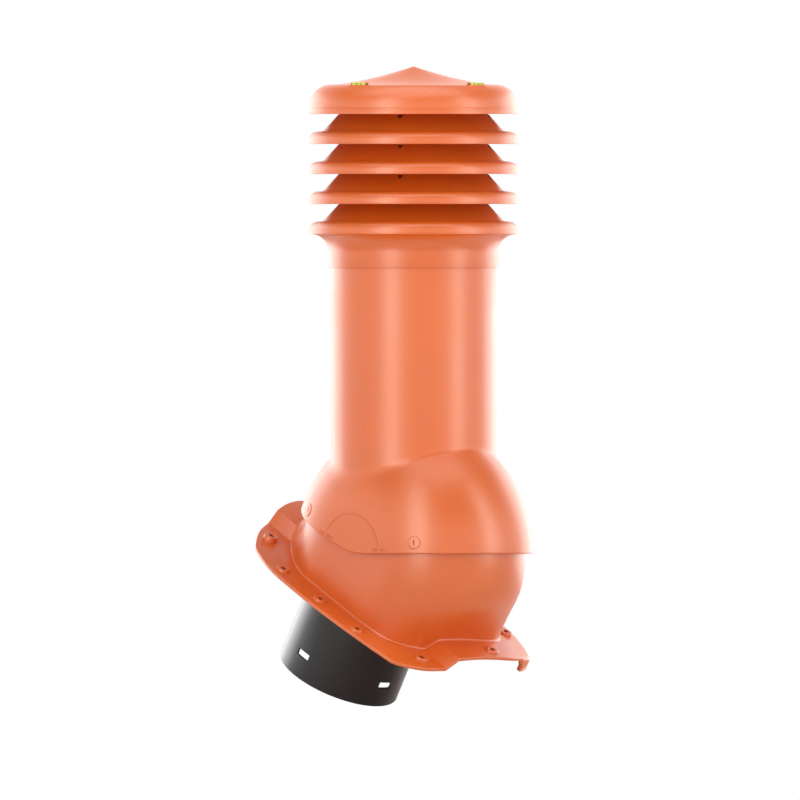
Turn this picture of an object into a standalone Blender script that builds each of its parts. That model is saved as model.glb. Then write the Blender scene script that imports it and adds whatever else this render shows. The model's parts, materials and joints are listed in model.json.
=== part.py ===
"""Roof ventilation chimney: a louvred head on a tube and hood, over a tilted base with a duct pipe.

The pieces are modelled about the barrel centre, a point on the tube's own axis where the round
hood and the round base share their level axis. +X runs down the roof, -Y is the near side and +Z
is up along the tube. An empty then carries them so that the roof seat is the origin.
Places on the roof are given as (down, side, rise): down the roof from the barrel centre, towards
the near side, and square out of the roof.
"""
import math

import bpy
import bmesh
from mathutils import Matrix, Vector

MM = 0.001
GAP = 0.3 * MM
THROUGH = 20 * MM
SEGMENTS = 28

# Roof
ROOF_PITCH = math.radians(30)
SEAT_DOWN = 31 * MM
SEAT_SIDE = 121 * MM

# Rims, which the cap, the three louvre rings and the collar share
RIM_RADIUS = 125.4 * MM
RIM_BAND = 4.5 * MM
RIM_ROUND = 10.4 * MM
HEAD_WALL = 2.5 * MM
LOUVRE_PITCH = 36 * MM
LOUVRE_RINGS = 3

# Cones inside the rims, with a lip at the throat that carries the posts
CONE_LEDGE = 20.4 * MM
CONE_ANGLE = math.radians(47.3)
CONE_START = 4.3 * MM
CONE_ROOT = 1.6 * MM
UNDER_CONE = 0.5 * MM
LIP_HEIGHT = 40 * MM
LIP_WIDTH = 5.3 * MM
POST_COUNT = 4
POST_WIDTH = 10 * MM
POST_DEPTH = 3 * MM
POST_INSET = 0.5 * MM
POST_AZIMUTH = math.radians(-55)

# Cap
CAP_HEIGHT = 57.4 * MM
CAP_EAVE = 35.2 * MM
CAP_ROUND = 25.6 * MM
CAP_BAND = 7.9 * MM
CAP_FLARE = 0.8 * MM
CAP_CREASE = 2.1 * MM
CAP_HOLLOW = 1.5
CAP_SHARES = (0.15, 0.4, 0.7)
CAP_INNER_SHARE = 0.4
CAP_TIP_WALL = 3.5 * MM
CAP_SPIGOT = 20 * MM

# Spirit levels
VIAL_RADIUS = 2.4 * MM
VIAL_LENGTH = 23 * MM
VIAL_HEIGHT = 35.4 * MM
CRADLE_LENGTH = 34 * MM
CRADLE_WIDTH = 10 * MM
CRADLE_RISE = 0.8 * MM
CRADLE_FLOOR = 4 * MM
VIAL_INSET = 20.4 * MM
VIAL_AZIMUTHS = (math.radians(-83), math.radians(0))

# Collar
COLLAR_HEIGHT = 383.5 * MM
SLEEVE_WALL = 2.1 * MM
SLEEVE_DEPTH = 40.8 * MM
FLARE_DROP = 22 * MM
FLARE_SETBACK = 1.4 * MM
TUBE_STOP = 7 * MM

# Hood: the tube and a barrel. The barrel's flat sides are discs, BARREL_ROUND from the middle,
# and its skin curves from their rims out to BARREL_REACH past them
TUBE_RADIUS = 99 * MM
HOOD_WALL = 3 * MM
BARREL_CORE = 48.5 * MM
BARREL_ROUND = 107.4 * MM
BARREL_REACH = 110 * MM
TUBE_BLEND = 9.6 * MM
COVER_ANGLE = math.radians(24.7)
EDGE_BLEND = 9.6 * MM
HOOD_ROWS = 9
HOOD_INNER_ROWS = 5
HOOD_ROW_BIAS = 1.3

# Hood screws
SCREW_HEAD_RADIUS = 8 * MM
SCREW_HEAD_PROUD = 0.8 * MM
SCREW_HEAD_SINK = 1.7 * MM
SCREW_SHANK_RADIUS = 2.5 * MM
SCREW_SIDE = 96 * MM
SCREW_ABOVE_EDGE = math.radians(7.8)
SCREW_PAD_RADIUS = 10 * MM
SCREW_SLOT = (1.4 * MM, 6 * MM, 1 * MM)
SCREW_TIP = 4 * MM

# Base
BASE_CLEARANCE = 8.4 * MM
BASE_WALL = 3 * MM
BASE_OVERLAP = 36 * MM
BASE_SHOW_DOWNHILL = 38 * MM
BASE_SHOW_UPHILL = 7 * MM
BASE_ROWS = 3
SKIRT_ROWS = 4
SKIRT_START_PULL = 0.4
SKIRT_END_PULL = 0.35
SKIRT_END_LEAN = 1.2
SKIRT_STEP = 0.02
FOOT_HALF_WIDTH = 99 * MM
FOOT_DOWNHILL = 117.6 * MM
FOOT_UPHILL = 175.6 * MM
FOOT_STRAIGHT = 60 * MM
FOOT_SKEW = 0.06
FOOT_SQUARENESS = 4
FOOT_POINT = 1.4
FOOT_BEAD = 2.4 * MM

# Flange
FLANGE_WALL = 4.4 * MM
BAND_RISE = -67 * MM
BAND_INNER = 48 * MM
NEAR_CREASE_RISE = -53.6 * MM
FAR_CREASE_RISE = -56.4 * MM
NEAR_CREASE = 32.4 * MM
FAR_CREASE = -76.8 * MM
CROWN_RISE = 3.8 * MM
CROWN_ROWS = 4
FAR_SLOPE = math.radians(12)
FLANGE_NEAR_WIDTH = 140 * MM
FLANGE_FAR_WIDTH = 148.8 * MM
FLANGE_DOWNHILL = 159.6 * MM
FLANGE_UPHILL = 216 * MM
LIP_WALL = 3 * MM
LIP_SETBACK = 0.2 * MM
LIP_BOTTOM = -77.7 * MM
LIP_STOP = -86 * MM
LIP_UPHILL = -100 * MM

# Screw bosses on the flange, with their places as (down, side)
BOSS_RADIUS = 9 * MM
BOSS_TOP_RADIUS = 8.4 * MM
BOSS_HOLE_RADIUS = 2.8 * MM
BOSS_PITCH = 72 * MM
BOSS_SIDE = 121.2 * MM
BOSS_DOWN = -4.8 * MM
BOSS_CORNER = (-149 * MM, 81.6 * MM)
FRONT_BOSSES = ((135.6 * MM, 70.8 * MM), (144 * MM, -33.6 * MM))
FAR_BOSS = (80.4 * MM, -117.6 * MM)
LOW_BOSS = 2.6 * MM
MIDDLE_BOSS = 4 * MM
TALL_BOSS = 6.4 * MM

# Duct pipe
PIPE_RADIUS = 75 * MM
PIPE_WALL = 3 * MM
PIPE_UPHILL = 37.2 * MM
PIPE_END_RISE = -190.2 * MM
PIPE_TOP_RISE = -45 * MM
PIPE_COLLAR = 5 * MM
PIPE_SLOT = (20 * MM, 8 * MM)
PIPE_SLOT_ABOVE_END = 29 * MM

# Sizes that follow
SEAT_RISE = BAND_RISE - FLANGE_WALL
SLEEVE_RADIUS = TUBE_RADIUS + GAP + SLEEVE_WALL
BASE_ROUND = BARREL_ROUND - BASE_CLEARANCE
TUBE_TOP = COLLAR_HEIGHT - TUBE_STOP - GAP
CAP_BOTTOM = COLLAR_HEIGHT + (LOUVRE_RINGS + 1) * LOUVRE_PITCH


def roof_point(down, side, rise):
    """A place on the roof as a point about the barrel centre."""
    return Vector((down * math.cos(ROOF_PITCH) + rise * math.sin(ROOF_PITCH),
                   -side,
                   -down * math.sin(ROOF_PITCH) + rise * math.cos(ROOF_PITCH)))


def roof_frame(down, side, rise):
    """A frame with Z out of the roof, X down it and Y away from the near side."""
    turn = Matrix.Rotation(ROOF_PITCH, 4, 'Y')
    return Matrix.Translation(roof_point(down, side, rise)) @ turn


def smooth_larger(a, b, blend):
    """The larger of two values, with a soft change where they are within blend of each other."""
    near = max(blend - abs(a - b), 0.0) / blend
    return max(a, b) + near * near * blend / 4


def bisect(low, high, too_high):
    """The value between low and high where too_high turns true."""
    for _ in range(40):
        middle = (low + high) / 2
        if too_high(middle):
            high = middle
        else:
            low = middle
    return (low + high) / 2


def remove_all_objects():
    for thing in list(bpy.data.objects):
        bpy.data.objects.remove(thing)


def new_collection(name):
    collection = bpy.data.collections.new(name)
    bpy.context.scene.collection.children.link(collection)
    return collection


def make_material(name, color, roughness, metallic=0.0):
    material = bpy.data.materials.new(name)
    material.use_nodes = True
    shader = material.node_tree.nodes["Principled BSDF"]
    shader.inputs["Base Color"].default_value = (*color, 1.0)
    shader.inputs["Roughness"].default_value = roughness
    shader.inputs["Metallic"].default_value = metallic
    return material


remove_all_objects()
parts = new_collection("roof_ventilation_chimney")
cutters = new_collection("cutters")
terracotta = make_material("terracotta_plastic", (0.82, 0.25, 0.10), 0.42)
black = make_material("black_plastic", (0.025, 0.025, 0.027), 0.38)
lime = make_material("level_liquid", (0.72, 0.78, 0.05), 0.2)
chimney = bpy.data.objects.new("chimney_axis", None)
parts.objects.link(chimney)
chimney.location = -roof_point(SEAT_DOWN, SEAT_SIDE, SEAT_RISE)


def place(thing, collection, frame=None, material=None):
    """Put an object in a collection, under the chimney's axis."""
    collection.objects.link(thing)
    thing.parent = chimney
    if frame is not None:
        thing.matrix_local = frame
    if material is not None:
        thing.data.materials.append(material)
    if collection is cutters:
        thing.hide_render = True
        thing.display_type = 'WIRE'
    return thing


def object_from_bmesh(name, mesh_in_work, collection, frame=None, material=None):
    mesh = bpy.data.meshes.new(name)
    bmesh.ops.recalc_face_normals(mesh_in_work, faces=mesh_in_work.faces)
    mesh_in_work.to_mesh(mesh)
    mesh_in_work.free()
    return place(bpy.data.objects.new(name, mesh), collection, frame, material)


def shade(thing, angle=40):
    thing.data.shade_smooth()
    thing.data.set_sharp_from_angle(angle=math.radians(angle))


def turned(name, profile, collection, frame=None, material=None):
    """Turn a closed profile of (radius, height) points, given down its outer side first."""
    work = bmesh.new()
    points = [work.verts.new((radius, 0, height)) for radius, height in profile]
    for index, point in enumerate(points):
        after = points[(index + 1) % len(points)]
        if point.co.x > 0 or after.co.x > 0:
            work.edges.new((point, after))
    mesh = bpy.data.meshes.new(name)
    work.to_mesh(mesh)
    work.free()
    thing = place(bpy.data.objects.new(name, mesh), collection, frame, material)
    screw = thing.modifiers.new("Turn", 'SCREW')
    screw.steps = SEGMENTS
    screw.render_steps = SEGMENTS
    screw.use_merge_vertices = True
    screw.merge_threshold = 0.00001
    return thing


def cone(name, radius_low, radius_high, low, high, collection, frame, sides=16, material=None):
    """A cylinder or cone on its frame's Z axis between two heights."""
    work = bmesh.new()
    bmesh.ops.create_cone(work, cap_ends=True, segments=sides, radius1=radius_low,
                          radius2=radius_high, depth=high - low)
    bmesh.ops.translate(work, verts=work.verts, vec=(0, 0, (low + high) / 2))
    return object_from_bmesh(name, work, collection, frame, material)


def box(name, size, centre, collection, frame=None):
    work = bmesh.new()
    bmesh.ops.create_cube(work, size=1)
    bmesh.ops.scale(work, verts=work.verts, vec=size)
    bmesh.ops.translate(work, verts=work.verts, vec=centre)
    return object_from_bmesh(name, work, collection, frame)


def loft(name, rings, closed, collection, material=None):
    """Skin a list of equal rings. A closed loft joins its last ring to its first."""
    work = bmesh.new()
    rows = [[work.verts.new(point) for point in ring] for ring in rings]
    pairs = list(zip(rows, rows[1:]))
    if closed:
        pairs.append((rows[-1], rows[0]))
    else:
        work.faces.new(rows[0])
        work.faces.new(rows[-1])
    for lower, upper in pairs:
        for index in range(len(lower)):
            after = (index + 1) % len(lower)
            work.faces.new((lower[index], lower[after], upper[after], upper[index]))
    return object_from_bmesh(name, work, collection, None, material)


def boolean(thing, other, operation='DIFFERENCE'):
    modifier = thing.modifiers.new(operation.title() + " " + other.name, 'BOOLEAN')
    modifier.operation = operation
    modifier.solver = 'EXACT'
    modifier.object = other
    return modifier


def outline_prism(name, outline, low, high, frame):
    """A flat closed outline, filled as a 2D curve and extruded between two heights."""
    curve = bpy.data.curves.new(name, 'CURVE')
    curve.dimensions = '2D'
    curve.fill_mode = 'BOTH'
    curve.extrude = (high - low) / 2
    spline = curve.splines.new('POLY')
    spline.points.add(len(outline) - 1)
    for point, place_of_point in zip(spline.points, outline):
        point.co = (*place_of_point, 0, 1)
    spline.use_cyclic_u = True
    guide = bpy.data.objects.new(name, curve)
    bpy.context.scene.collection.objects.link(guide)
    guide.matrix_world = frame @ Matrix.Translation((0, 0, (low + high) / 2))
    bpy.context.view_layer.update()
    evaluated = guide.evaluated_get(bpy.context.evaluated_depsgraph_get())
    mesh = bpy.data.meshes.new_from_object(evaluated)
    mesh.transform(guide.matrix_world)
    bpy.data.objects.remove(guide)
    work = bmesh.new()
    work.from_mesh(mesh)
    bmesh.ops.remove_doubles(work, verts=work.verts, dist=0.00001)
    return object_from_bmesh(name, work, cutters)


def rounded_outline(stations, steps):
    """A smooth closed outline through its stations, as a Catmull-Rom curve."""
    outline = []
    count = len(stations)
    for index in range(count):
        before, start, end, after = (Vector(stations[(index + k) % count]) for k in (-1, 0, 1, 2))
        for step in range(steps):
            t = step / steps
            outline.append(0.5 * (2 * start + (end - before) * t
                                  + (2 * before - 5 * start + 4 * end - after) * t ** 2
                                  + (3 * start - before - 3 * end + after) * t ** 3))
    return outline


def inset_outline(outline, distance):
    """Move each point of an outline inwards, square to it."""
    moved = []
    for index, point in enumerate(outline):
        along = (outline[(index + 1) % len(outline)] - outline[index - 1]).normalized()
        moved.append(point + Vector((-along.y, along.x)) * distance)
    return moved


def quarter(centre, across, up, start, end, steps):
    """Points of an elliptical arc in a profile, from one angle to another in degrees."""
    points = []
    for step in range(steps + 1):
        angle = math.radians(start + (end - start) * step / steps)
        points.append((centre[0] + across * math.cos(angle), centre[1] + up * math.sin(angle)))
    return points


# Louvre rings

SHOULDER = RIM_BAND + RIM_ROUND
CONE_FOOT = RIM_RADIUS - CONE_LEDGE
CONE_FOOT_HEIGHT = SHOULDER + CONE_START
CONE_TOP = CONE_FOOT - (LIP_HEIGHT - CONE_FOOT_HEIGHT) / math.tan(CONE_ANGLE)
LIP_RADIUS = CONE_TOP - LIP_WIDTH
POST_RADIUS = LIP_RADIUS + POST_INSET + POST_DEPTH / 2


def cone_radius(height):
    return CONE_FOOT - (height - CONE_FOOT_HEIGHT) / math.tan(CONE_ANGLE)


def ring_outside():
    """The skin of a ring from its lip down the cone, over the shoulder and down the rim."""
    shoulder_start = RIM_RADIUS - RIM_ROUND
    points = [(LIP_RADIUS, LIP_HEIGHT), (CONE_TOP, LIP_HEIGHT)]
    points.append((cone_radius(SHOULDER + CONE_ROOT), SHOULDER + CONE_ROOT))
    points += quarter((shoulder_start, RIM_BAND), RIM_ROUND, RIM_ROUND, 90, 0, 3)
    points.append((RIM_RADIUS, 0))
    return points


def ring_inside():
    """The underside of a ring from the rim back to its lip, one wall in."""
    slant = HEAD_WALL / math.sin(CONE_ANGLE)
    shoulder_start = RIM_RADIUS - RIM_ROUND
    under = SHOULDER - HEAD_WALL
    points = quarter((shoulder_start, RIM_BAND), RIM_ROUND - HEAD_WALL, RIM_ROUND - HEAD_WALL,
                     0, 90, 1)
    points.append((cone_radius(under + UNDER_CONE) - slant, under + UNDER_CONE))
    points.append((cone_radius(LIP_HEIGHT - HEAD_WALL) - slant, LIP_HEIGHT - HEAD_WALL))
    points.append((LIP_RADIUS, LIP_HEIGHT - HEAD_WALL))
    return points


def posts(name, low, high, height):
    """Four upright posts that carry the tier above, in one cutter."""
    work = bmesh.new()
    for index in range(POST_COUNT):
        made = bmesh.ops.create_cube(work, size=1)["verts"]
        bmesh.ops.scale(work, verts=made, vec=(POST_DEPTH, POST_WIDTH, high - low))
        bmesh.ops.translate(work, verts=made, vec=(POST_RADIUS, 0, (low + high) / 2))
        turn = Matrix.Rotation(POST_AZIMUTH + index * math.tau / POST_COUNT, 3, 'Z')
        bmesh.ops.rotate(work, verts=made, matrix=turn)
    return object_from_bmesh(name, work, cutters, Matrix.Translation((0, 0, height)))


def add_posts(thing, landing, height):
    low = LIP_HEIGHT - HEAD_WALL / 2
    high = LOUVRE_PITCH + landing - GAP
    boolean(thing, posts(thing.name + "_posts", low, high, height), 'UNION')


def make_louvre_ring(number):
    height = COLLAR_HEIGHT + (LOUVRE_RINGS + 1 - number) * LOUVRE_PITCH
    profile = ring_outside() + [(RIM_RADIUS - HEAD_WALL, 0)] + ring_inside()
    ring = turned(f"louvre_ring_{number}", profile, parts, Matrix.Translation((0, 0, height)),
                  terracotta)
    landing = CAP_SPIGOT if number == 1 else LIP_HEIGHT - HEAD_WALL
    add_posts(ring, landing, height)
    shade(ring)
    return ring


# Cap and spirit levels

def cap_dome(radius, eave, top, eave_radius):
    """Height of the hollow-sided dome at a radius."""
    return eave + (top - eave) * (1 - radius / eave_radius) ** CAP_HOLLOW


def make_vent_cap():
    eave_radius = RIM_RADIUS - CAP_FLARE - CAP_ROUND
    rise = CAP_EAVE - CAP_BAND - CAP_CREASE
    start = CAP_EAVE - rise
    profile = [(0, CAP_HEIGHT)]
    for share in CAP_SHARES:
        radius = eave_radius * share
        profile.append((radius, cap_dome(radius, CAP_EAVE, CAP_HEIGHT, eave_radius)))
    profile += quarter((eave_radius, start), CAP_ROUND, rise, 90, 0, 4)
    profile += [(RIM_RADIUS - CAP_FLARE, CAP_BAND), (RIM_RADIUS, 0), (RIM_RADIUS - HEAD_WALL, 0)]
    profile += quarter((eave_radius, start), CAP_ROUND - HEAD_WALL, rise - HEAD_WALL, 0, 90, 2)
    spigot_outer = LIP_RADIUS + POST_DEPTH + 2 * POST_INSET
    spigot_roof = cap_dome(spigot_outer, CAP_EAVE, CAP_HEIGHT, eave_radius) - HEAD_WALL
    profile += [(spigot_outer, spigot_roof), (spigot_outer, CAP_SPIGOT), (LIP_RADIUS, CAP_SPIGOT)]
    inside = cap_dome(LIP_RADIUS, CAP_EAVE, CAP_HEIGHT, eave_radius) - HEAD_WALL
    profile.append((LIP_RADIUS, inside))
    middle = eave_radius * CAP_INNER_SHARE
    profile.append((middle, cap_dome(middle, CAP_EAVE, CAP_HEIGHT, eave_radius) - HEAD_WALL))
    profile.append((0, CAP_HEIGHT - CAP_TIP_WALL))
    cap = turned("vent_cap", profile, parts, Matrix.Translation((0, 0, CAP_BOTTOM)), terracotta)
    for number, azimuth in enumerate(VIAL_AZIMUTHS, 1):
        frame = (Matrix.Translation((0, 0, CAP_BOTTOM)) @ Matrix.Rotation(azimuth, 4, 'Z')
                 @ Matrix.Translation((RIM_RADIUS - VIAL_INSET, 0, VIAL_HEIGHT)))
        height = 2 * VIAL_RADIUS + CRADLE_FLOOR
        top = CAP_EAVE + CRADLE_RISE - VIAL_HEIGHT
        cradle = box(f"level_cradle_{number}", (CRADLE_WIDTH, CRADLE_LENGTH, height),
                     (0, 0, top - height / 2), cutters, frame)
        boolean(cap, cradle, 'UNION')
        lying = frame @ Matrix.Rotation(math.radians(90), 4, 'X')
        reach = VIAL_LENGTH / 2 + GAP
        groove = cone(f"level_groove_{number}", VIAL_RADIUS + GAP, VIAL_RADIUS + GAP, -reach,
                      reach, cutters, lying, 12)
        boolean(cap, groove)
        slot_top = 3 * VIAL_RADIUS
        mouth = box(f"level_mouth_{number}", (2 * (VIAL_RADIUS + GAP), 2 * reach, slot_top),
                    (0, 0, slot_top / 2), cutters, frame)
        boolean(cap, mouth)
        vial = cone(f"level_vial_{number}", VIAL_RADIUS, VIAL_RADIUS, -VIAL_LENGTH / 2,
                    VIAL_LENGTH / 2, parts, lying, 12, lime)
        shade(vial)
    shade(cap)
    return cap


# Collar

def make_head_collar():
    flare_radius = RIM_RADIUS - FLARE_SETBACK
    flare_width = flare_radius - SLEEVE_RADIUS
    profile = ring_outside()
    profile += quarter((flare_radius, -FLARE_DROP), -flare_width, FLARE_DROP, 90, 0, 3)
    profile += [(SLEEVE_RADIUS, -SLEEVE_DEPTH), (TUBE_RADIUS + GAP, -SLEEVE_DEPTH),
                (TUBE_RADIUS + GAP, -TUBE_STOP), (TUBE_RADIUS - HOOD_WALL, -TUBE_STOP),
                (TUBE_RADIUS - HOOD_WALL, HEAD_WALL - TUBE_STOP)]
    profile.append((SLEEVE_RADIUS + 2 * HEAD_WALL, HEAD_WALL - TUBE_STOP))
    profile.append((flare_radius - 1.5 * HEAD_WALL, HEAD_WALL))
    profile += ring_inside()
    collar = turned("head_collar", profile, parts, Matrix.Translation((0, 0, COLLAR_HEIGHT)),
                    terracotta)
    add_posts(collar, LIP_HEIGHT - HEAD_WALL, COLLAR_HEIGHT)
    shade(collar)
    return collar


# Hood and base share these forms

def in_barrel(point, roundness):
    past_core = max(math.hypot(point[0], point[2]) - BARREL_CORE, 0)
    return math.hypot(past_core * BARREL_ROUND / BARREL_REACH, point[1]) < roundness


def barrel_radius(azimuth, height, roundness):
    """How far from the tube's axis the barrel's skin lies, or 0 above the barrel."""
    def outside(radius):
        return not in_barrel((radius * math.cos(azimuth), radius * math.sin(azimuth), height),
                             roundness)
    return bisect(0, 2 * (BARREL_CORE + roundness), outside)


def hood_radius(azimuth, height, wall):
    """The hood's skin: the barrel, which grows softly into the tube."""
    barrel = barrel_radius(azimuth, height, BARREL_ROUND - wall)
    return smooth_larger(TUBE_RADIUS - wall, barrel, TUBE_BLEND)


def base_radius(azimuth, height, wall):
    return barrel_radius(azimuth, height, BASE_ROUND - wall)


def hood_edge(along):
    """Height of the hood's lower edge: level downhill, and rising uphill."""
    return smooth_larger(0, -along * math.tan(COVER_ANGLE), EDGE_BLEND)


def edge_height(azimuth, skin, wall, above):
    """Where a skin meets the hood's edge, or a line a given height above it."""
    def over(height):
        along = skin(azimuth, height, wall) * math.cos(azimuth)
        return height > hood_edge(along) + above
    return bisect(0, BARREL_CORE + BARREL_REACH, over)


def azimuths():
    return [math.tau * index / SEGMENTS for index in range(SEGMENTS)]


def skin_point(skin, azimuth, height, wall):
    radius = skin(azimuth, height, wall)
    return Vector((radius * math.cos(azimuth), radius * math.sin(azimuth), height))


def hood_rings(wall, rows):
    """Rings from the lower edge up to where the barrel has become the tube."""
    barrel_top = BARREL_CORE + BARREL_REACH - wall
    top = math.sqrt(barrel_top ** 2 - (TUBE_RADIUS - wall) ** 2) + TUBE_BLEND
    rings = []
    for row in range(rows):
        share = 1 - (1 - row / (rows - 1)) ** HOOD_ROW_BIAS
        ring = []
        for azimuth in azimuths():
            edge = edge_height(azimuth, hood_radius, wall, 0)
            ring.append(skin_point(hood_radius, azimuth, edge + (top - edge) * share, wall))
        rings.append(ring)
    return rings


def tube_ring(radius, height):
    return [Vector((radius * math.cos(a), radius * math.sin(a), height)) for a in azimuths()]


def screw_frames():
    """A frame at each hood screw, with Z square out of the hood's skin."""
    stretch = BARREL_REACH / BARREL_ROUND
    reach = stretch * math.sqrt(BARREL_ROUND ** 2 - SCREW_SIDE ** 2)
    frames = []
    for side in (-1, 1):
        for polar in (SCREW_ABOVE_EDGE, math.pi - COVER_ANGLE - SCREW_ABOVE_EDGE):
            out = Vector((math.cos(polar), 0, math.sin(polar)))
            point = out * (BARREL_CORE + reach) + Vector((0, side * SCREW_SIDE, 0))
            slope = out * reach / stretch ** 2
            normal = (slope + Vector((0, side * SCREW_SIDE, 0))).normalized()
            across = Vector((0, 0, 1)).cross(normal).normalized()
            turn = Matrix((across, normal.cross(across), normal)).transposed().to_4x4()
            frames.append(Matrix.Translation(point) @ turn)
    return frames


def make_hood():
    rings = hood_rings(0, HOOD_ROWS)
    rings += [tube_ring(TUBE_RADIUS, TUBE_TOP), tube_ring(TUBE_RADIUS - HOOD_WALL, TUBE_TOP)]
    rings += reversed(hood_rings(HOOD_WALL, HOOD_INNER_ROWS))
    hood = loft("hood", rings, True, parts, terracotta)
    for number, frame in enumerate(screw_frames(), 1):
        pad = cone(f"screw_pad_{number}", SCREW_PAD_RADIUS, SCREW_PAD_RADIUS,
                   GAP - BASE_CLEARANCE, -HOOD_WALL / 2, cutters, frame, 10)
        boolean(hood, pad, 'UNION')
        head = cone(f"screw_seat_{number}", SCREW_HEAD_RADIUS + GAP, SCREW_HEAD_RADIUS + GAP,
                    -SCREW_HEAD_SINK - GAP, HOOD_WALL, cutters, frame, 10)
        boolean(hood, head)
        shank = cone(f"screw_bore_{number}", SCREW_SHANK_RADIUS + GAP,
                     SCREW_SHANK_RADIUS + GAP, -2 * BASE_CLEARANCE, HOOD_WALL, cutters, frame, 8)
        boolean(hood, shank)
    shade(hood, 50)
    return hood


def make_hood_screw(number, frame):
    end = BASE_CLEARANCE + BASE_WALL + SCREW_TIP
    screw = cone(f"hood_screw_{number}", SCREW_HEAD_RADIUS, SCREW_HEAD_RADIUS,
                 -SCREW_HEAD_SINK, SCREW_HEAD_PROUD, parts, frame, 10, terracotta)
    shank = cone(f"screw_shank_{number}", SCREW_SHANK_RADIUS, SCREW_SHANK_RADIUS, -end,
                 -SCREW_HEAD_SINK / 2, cutters, frame, 8)
    boolean(screw, shank, 'UNION')
    slot = box(f"screw_slot_{number}", SCREW_SLOT, (0, 0, SCREW_HEAD_PROUD), cutters, frame)
    boolean(screw, slot)
    shade(screw)
    return screw


# Base

def flange_rise(side):
    """Height of the flange's top over the roof's own frame, at a place across the roof."""
    if side > BAND_INNER:
        return BAND_RISE
    if side > NEAR_CREASE:
        share = (BAND_INNER - side) / (BAND_INNER - NEAR_CREASE)
        return BAND_RISE + (NEAR_CREASE_RISE - BAND_RISE) * share
    if side < FAR_CREASE:
        return FAR_CREASE_RISE + (side - FAR_CREASE) * math.tan(FAR_SLOPE)
    share = (side - FAR_CREASE) / (NEAR_CREASE - FAR_CREASE)
    chord = FAR_CREASE_RISE + (NEAR_CREASE_RISE - FAR_CREASE_RISE) * share
    return chord + CROWN_RISE * 4 * share * (1 - share)


def in_foot(down, side, inset):
    """Whether a place on the roof is inside the foot of the body."""
    width = FOOT_HALF_WIDTH - inset
    if down > 0:
        front = FOOT_DOWNHILL - FOOT_SKEW * side - inset
        return ((down / front) ** FOOT_SQUARENESS
                + (abs(side) / width) ** FOOT_SQUARENESS) < 1
    past = max(-down - FOOT_STRAIGHT, 0) / (FOOT_UPHILL - FOOT_STRAIGHT - inset)
    return past ** FOOT_POINT + (abs(side) / width) ** FOOT_POINT < 1


def foot_place(azimuth, inset):
    """Down and side of the foot in one direction."""
    def outside(reach):
        return not in_foot(reach * math.cos(azimuth), -reach * math.sin(azimuth), inset)
    reach = bisect(0, FOOT_UPHILL + FOOT_HALF_WIDTH, outside)
    return reach * math.cos(azimuth), -reach * math.sin(azimuth)


def barrel_hit(direction, roundness):
    """Where a ray from the barrel centre leaves the barrel."""
    def outside(reach):
        return not in_barrel(direction * reach, roundness)
    return direction * bisect(0, 2 * (BARREL_CORE + roundness), outside)


def body_column(azimuth, wall):
    """Points of the body's skin in one direction, from its rim down to its foot."""
    roundness = BASE_ROUND - wall
    rim_height = edge_height(azimuth, base_radius, wall, BASE_OVERLAP)
    rim = skin_point(base_radius, azimuth, rim_height, wall)
    down, side = foot_place(azimuth, wall)
    foot = roof_point(down, side, flange_rise(side) + FOOT_BEAD)
    rim_way = rim.normalized()
    foot_way = foot.normalized()

    def on_barrel(share):
        return barrel_hit(foot_way.slerp(rim_way, share), roundness)

    def shown(point):
        reach = BARREL_CORE + BARREL_REACH
        share = (point.x + reach) / (2 * reach)
        return BASE_SHOW_UPHILL + (BASE_SHOW_DOWNHILL - BASE_SHOW_UPHILL) * share

    def above_leave(share):
        point = on_barrel(share)
        return point.z > hood_edge(point.x) - shown(point)

    leave = bisect(0, 1, above_leave)
    column = [on_barrel(1 - (1 - leave) * row / BASE_ROWS) for row in range(BASE_ROWS + 1)]
    start = column[-1]
    along = (on_barrel(max(leave - SKIRT_STEP, 0)) - on_barrel(leave + SKIRT_STEP)).normalized()
    span = (foot - start).length
    out_of_roof = roof_point(0, 0, 1)
    end_way = (out_of_roof + SKIRT_END_LEAN * (start - foot).normalized()).normalized()
    first = start + along * span * SKIRT_START_PULL
    second = foot + end_way * span * SKIRT_END_PULL
    for row in range(1, SKIRT_ROWS + 1):
        t = row / SKIRT_ROWS
        column.append(start * (1 - t) ** 3 + first * 3 * t * (1 - t) ** 2
                      + second * 3 * t ** 2 * (1 - t) + foot * t ** 3)
    return column


def body_rings(wall):
    columns = [body_column(azimuth, wall) for azimuth in azimuths()]
    return [list(ring) for ring in zip(*columns)]


def foot_ring(inset, rise=None):
    """A ring along the foot, at one height over the roof or a bead's height over the flange."""
    ring = []
    for azimuth in azimuths():
        down, side = foot_place(azimuth, inset)
        height = flange_rise(side) + FOOT_BEAD if rise is None else rise
        ring.append(roof_point(down, side, height))
    return ring


# The flange's outline from its downhill edge to its uphill tip, on the near side and then on the
# far side, as shares of its reach down or up the roof and of its width on that side
NEAR_STATIONS = ((1, 0), (1, 0.37), (0.993, 0.62), (0.9, 0.861), (0.752, 0.911), (0.57, 0.943),
                 (0.125, 0.996), (-0.213, 1), (-0.389, 0.976), (-0.568, 0.884), (-0.66, 0.789),
                 (-0.81, 0.53), (-0.935, 0.18), (-0.99, -0.04))
FAR_STATIONS = ((1, 0.175), (0.99, 0.383), (0.952, 0.538), (0.883, 0.726), (0.764, 0.82),
                (0.633, 0.898), (0.388, 0.988), (0, 1), (-0.32, 0.965), (-0.54, 0.86),
                (-0.66, 0.742), (-0.81, 0.56), (-0.93, 0.42), (-1, 0.2))


def station_place(station, width):
    """Down and away from the near side, for one station of the outline."""
    reach, share = station
    length = FLANGE_DOWNHILL if reach > 0 else FLANGE_UPHILL
    return reach * length, share * width


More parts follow.
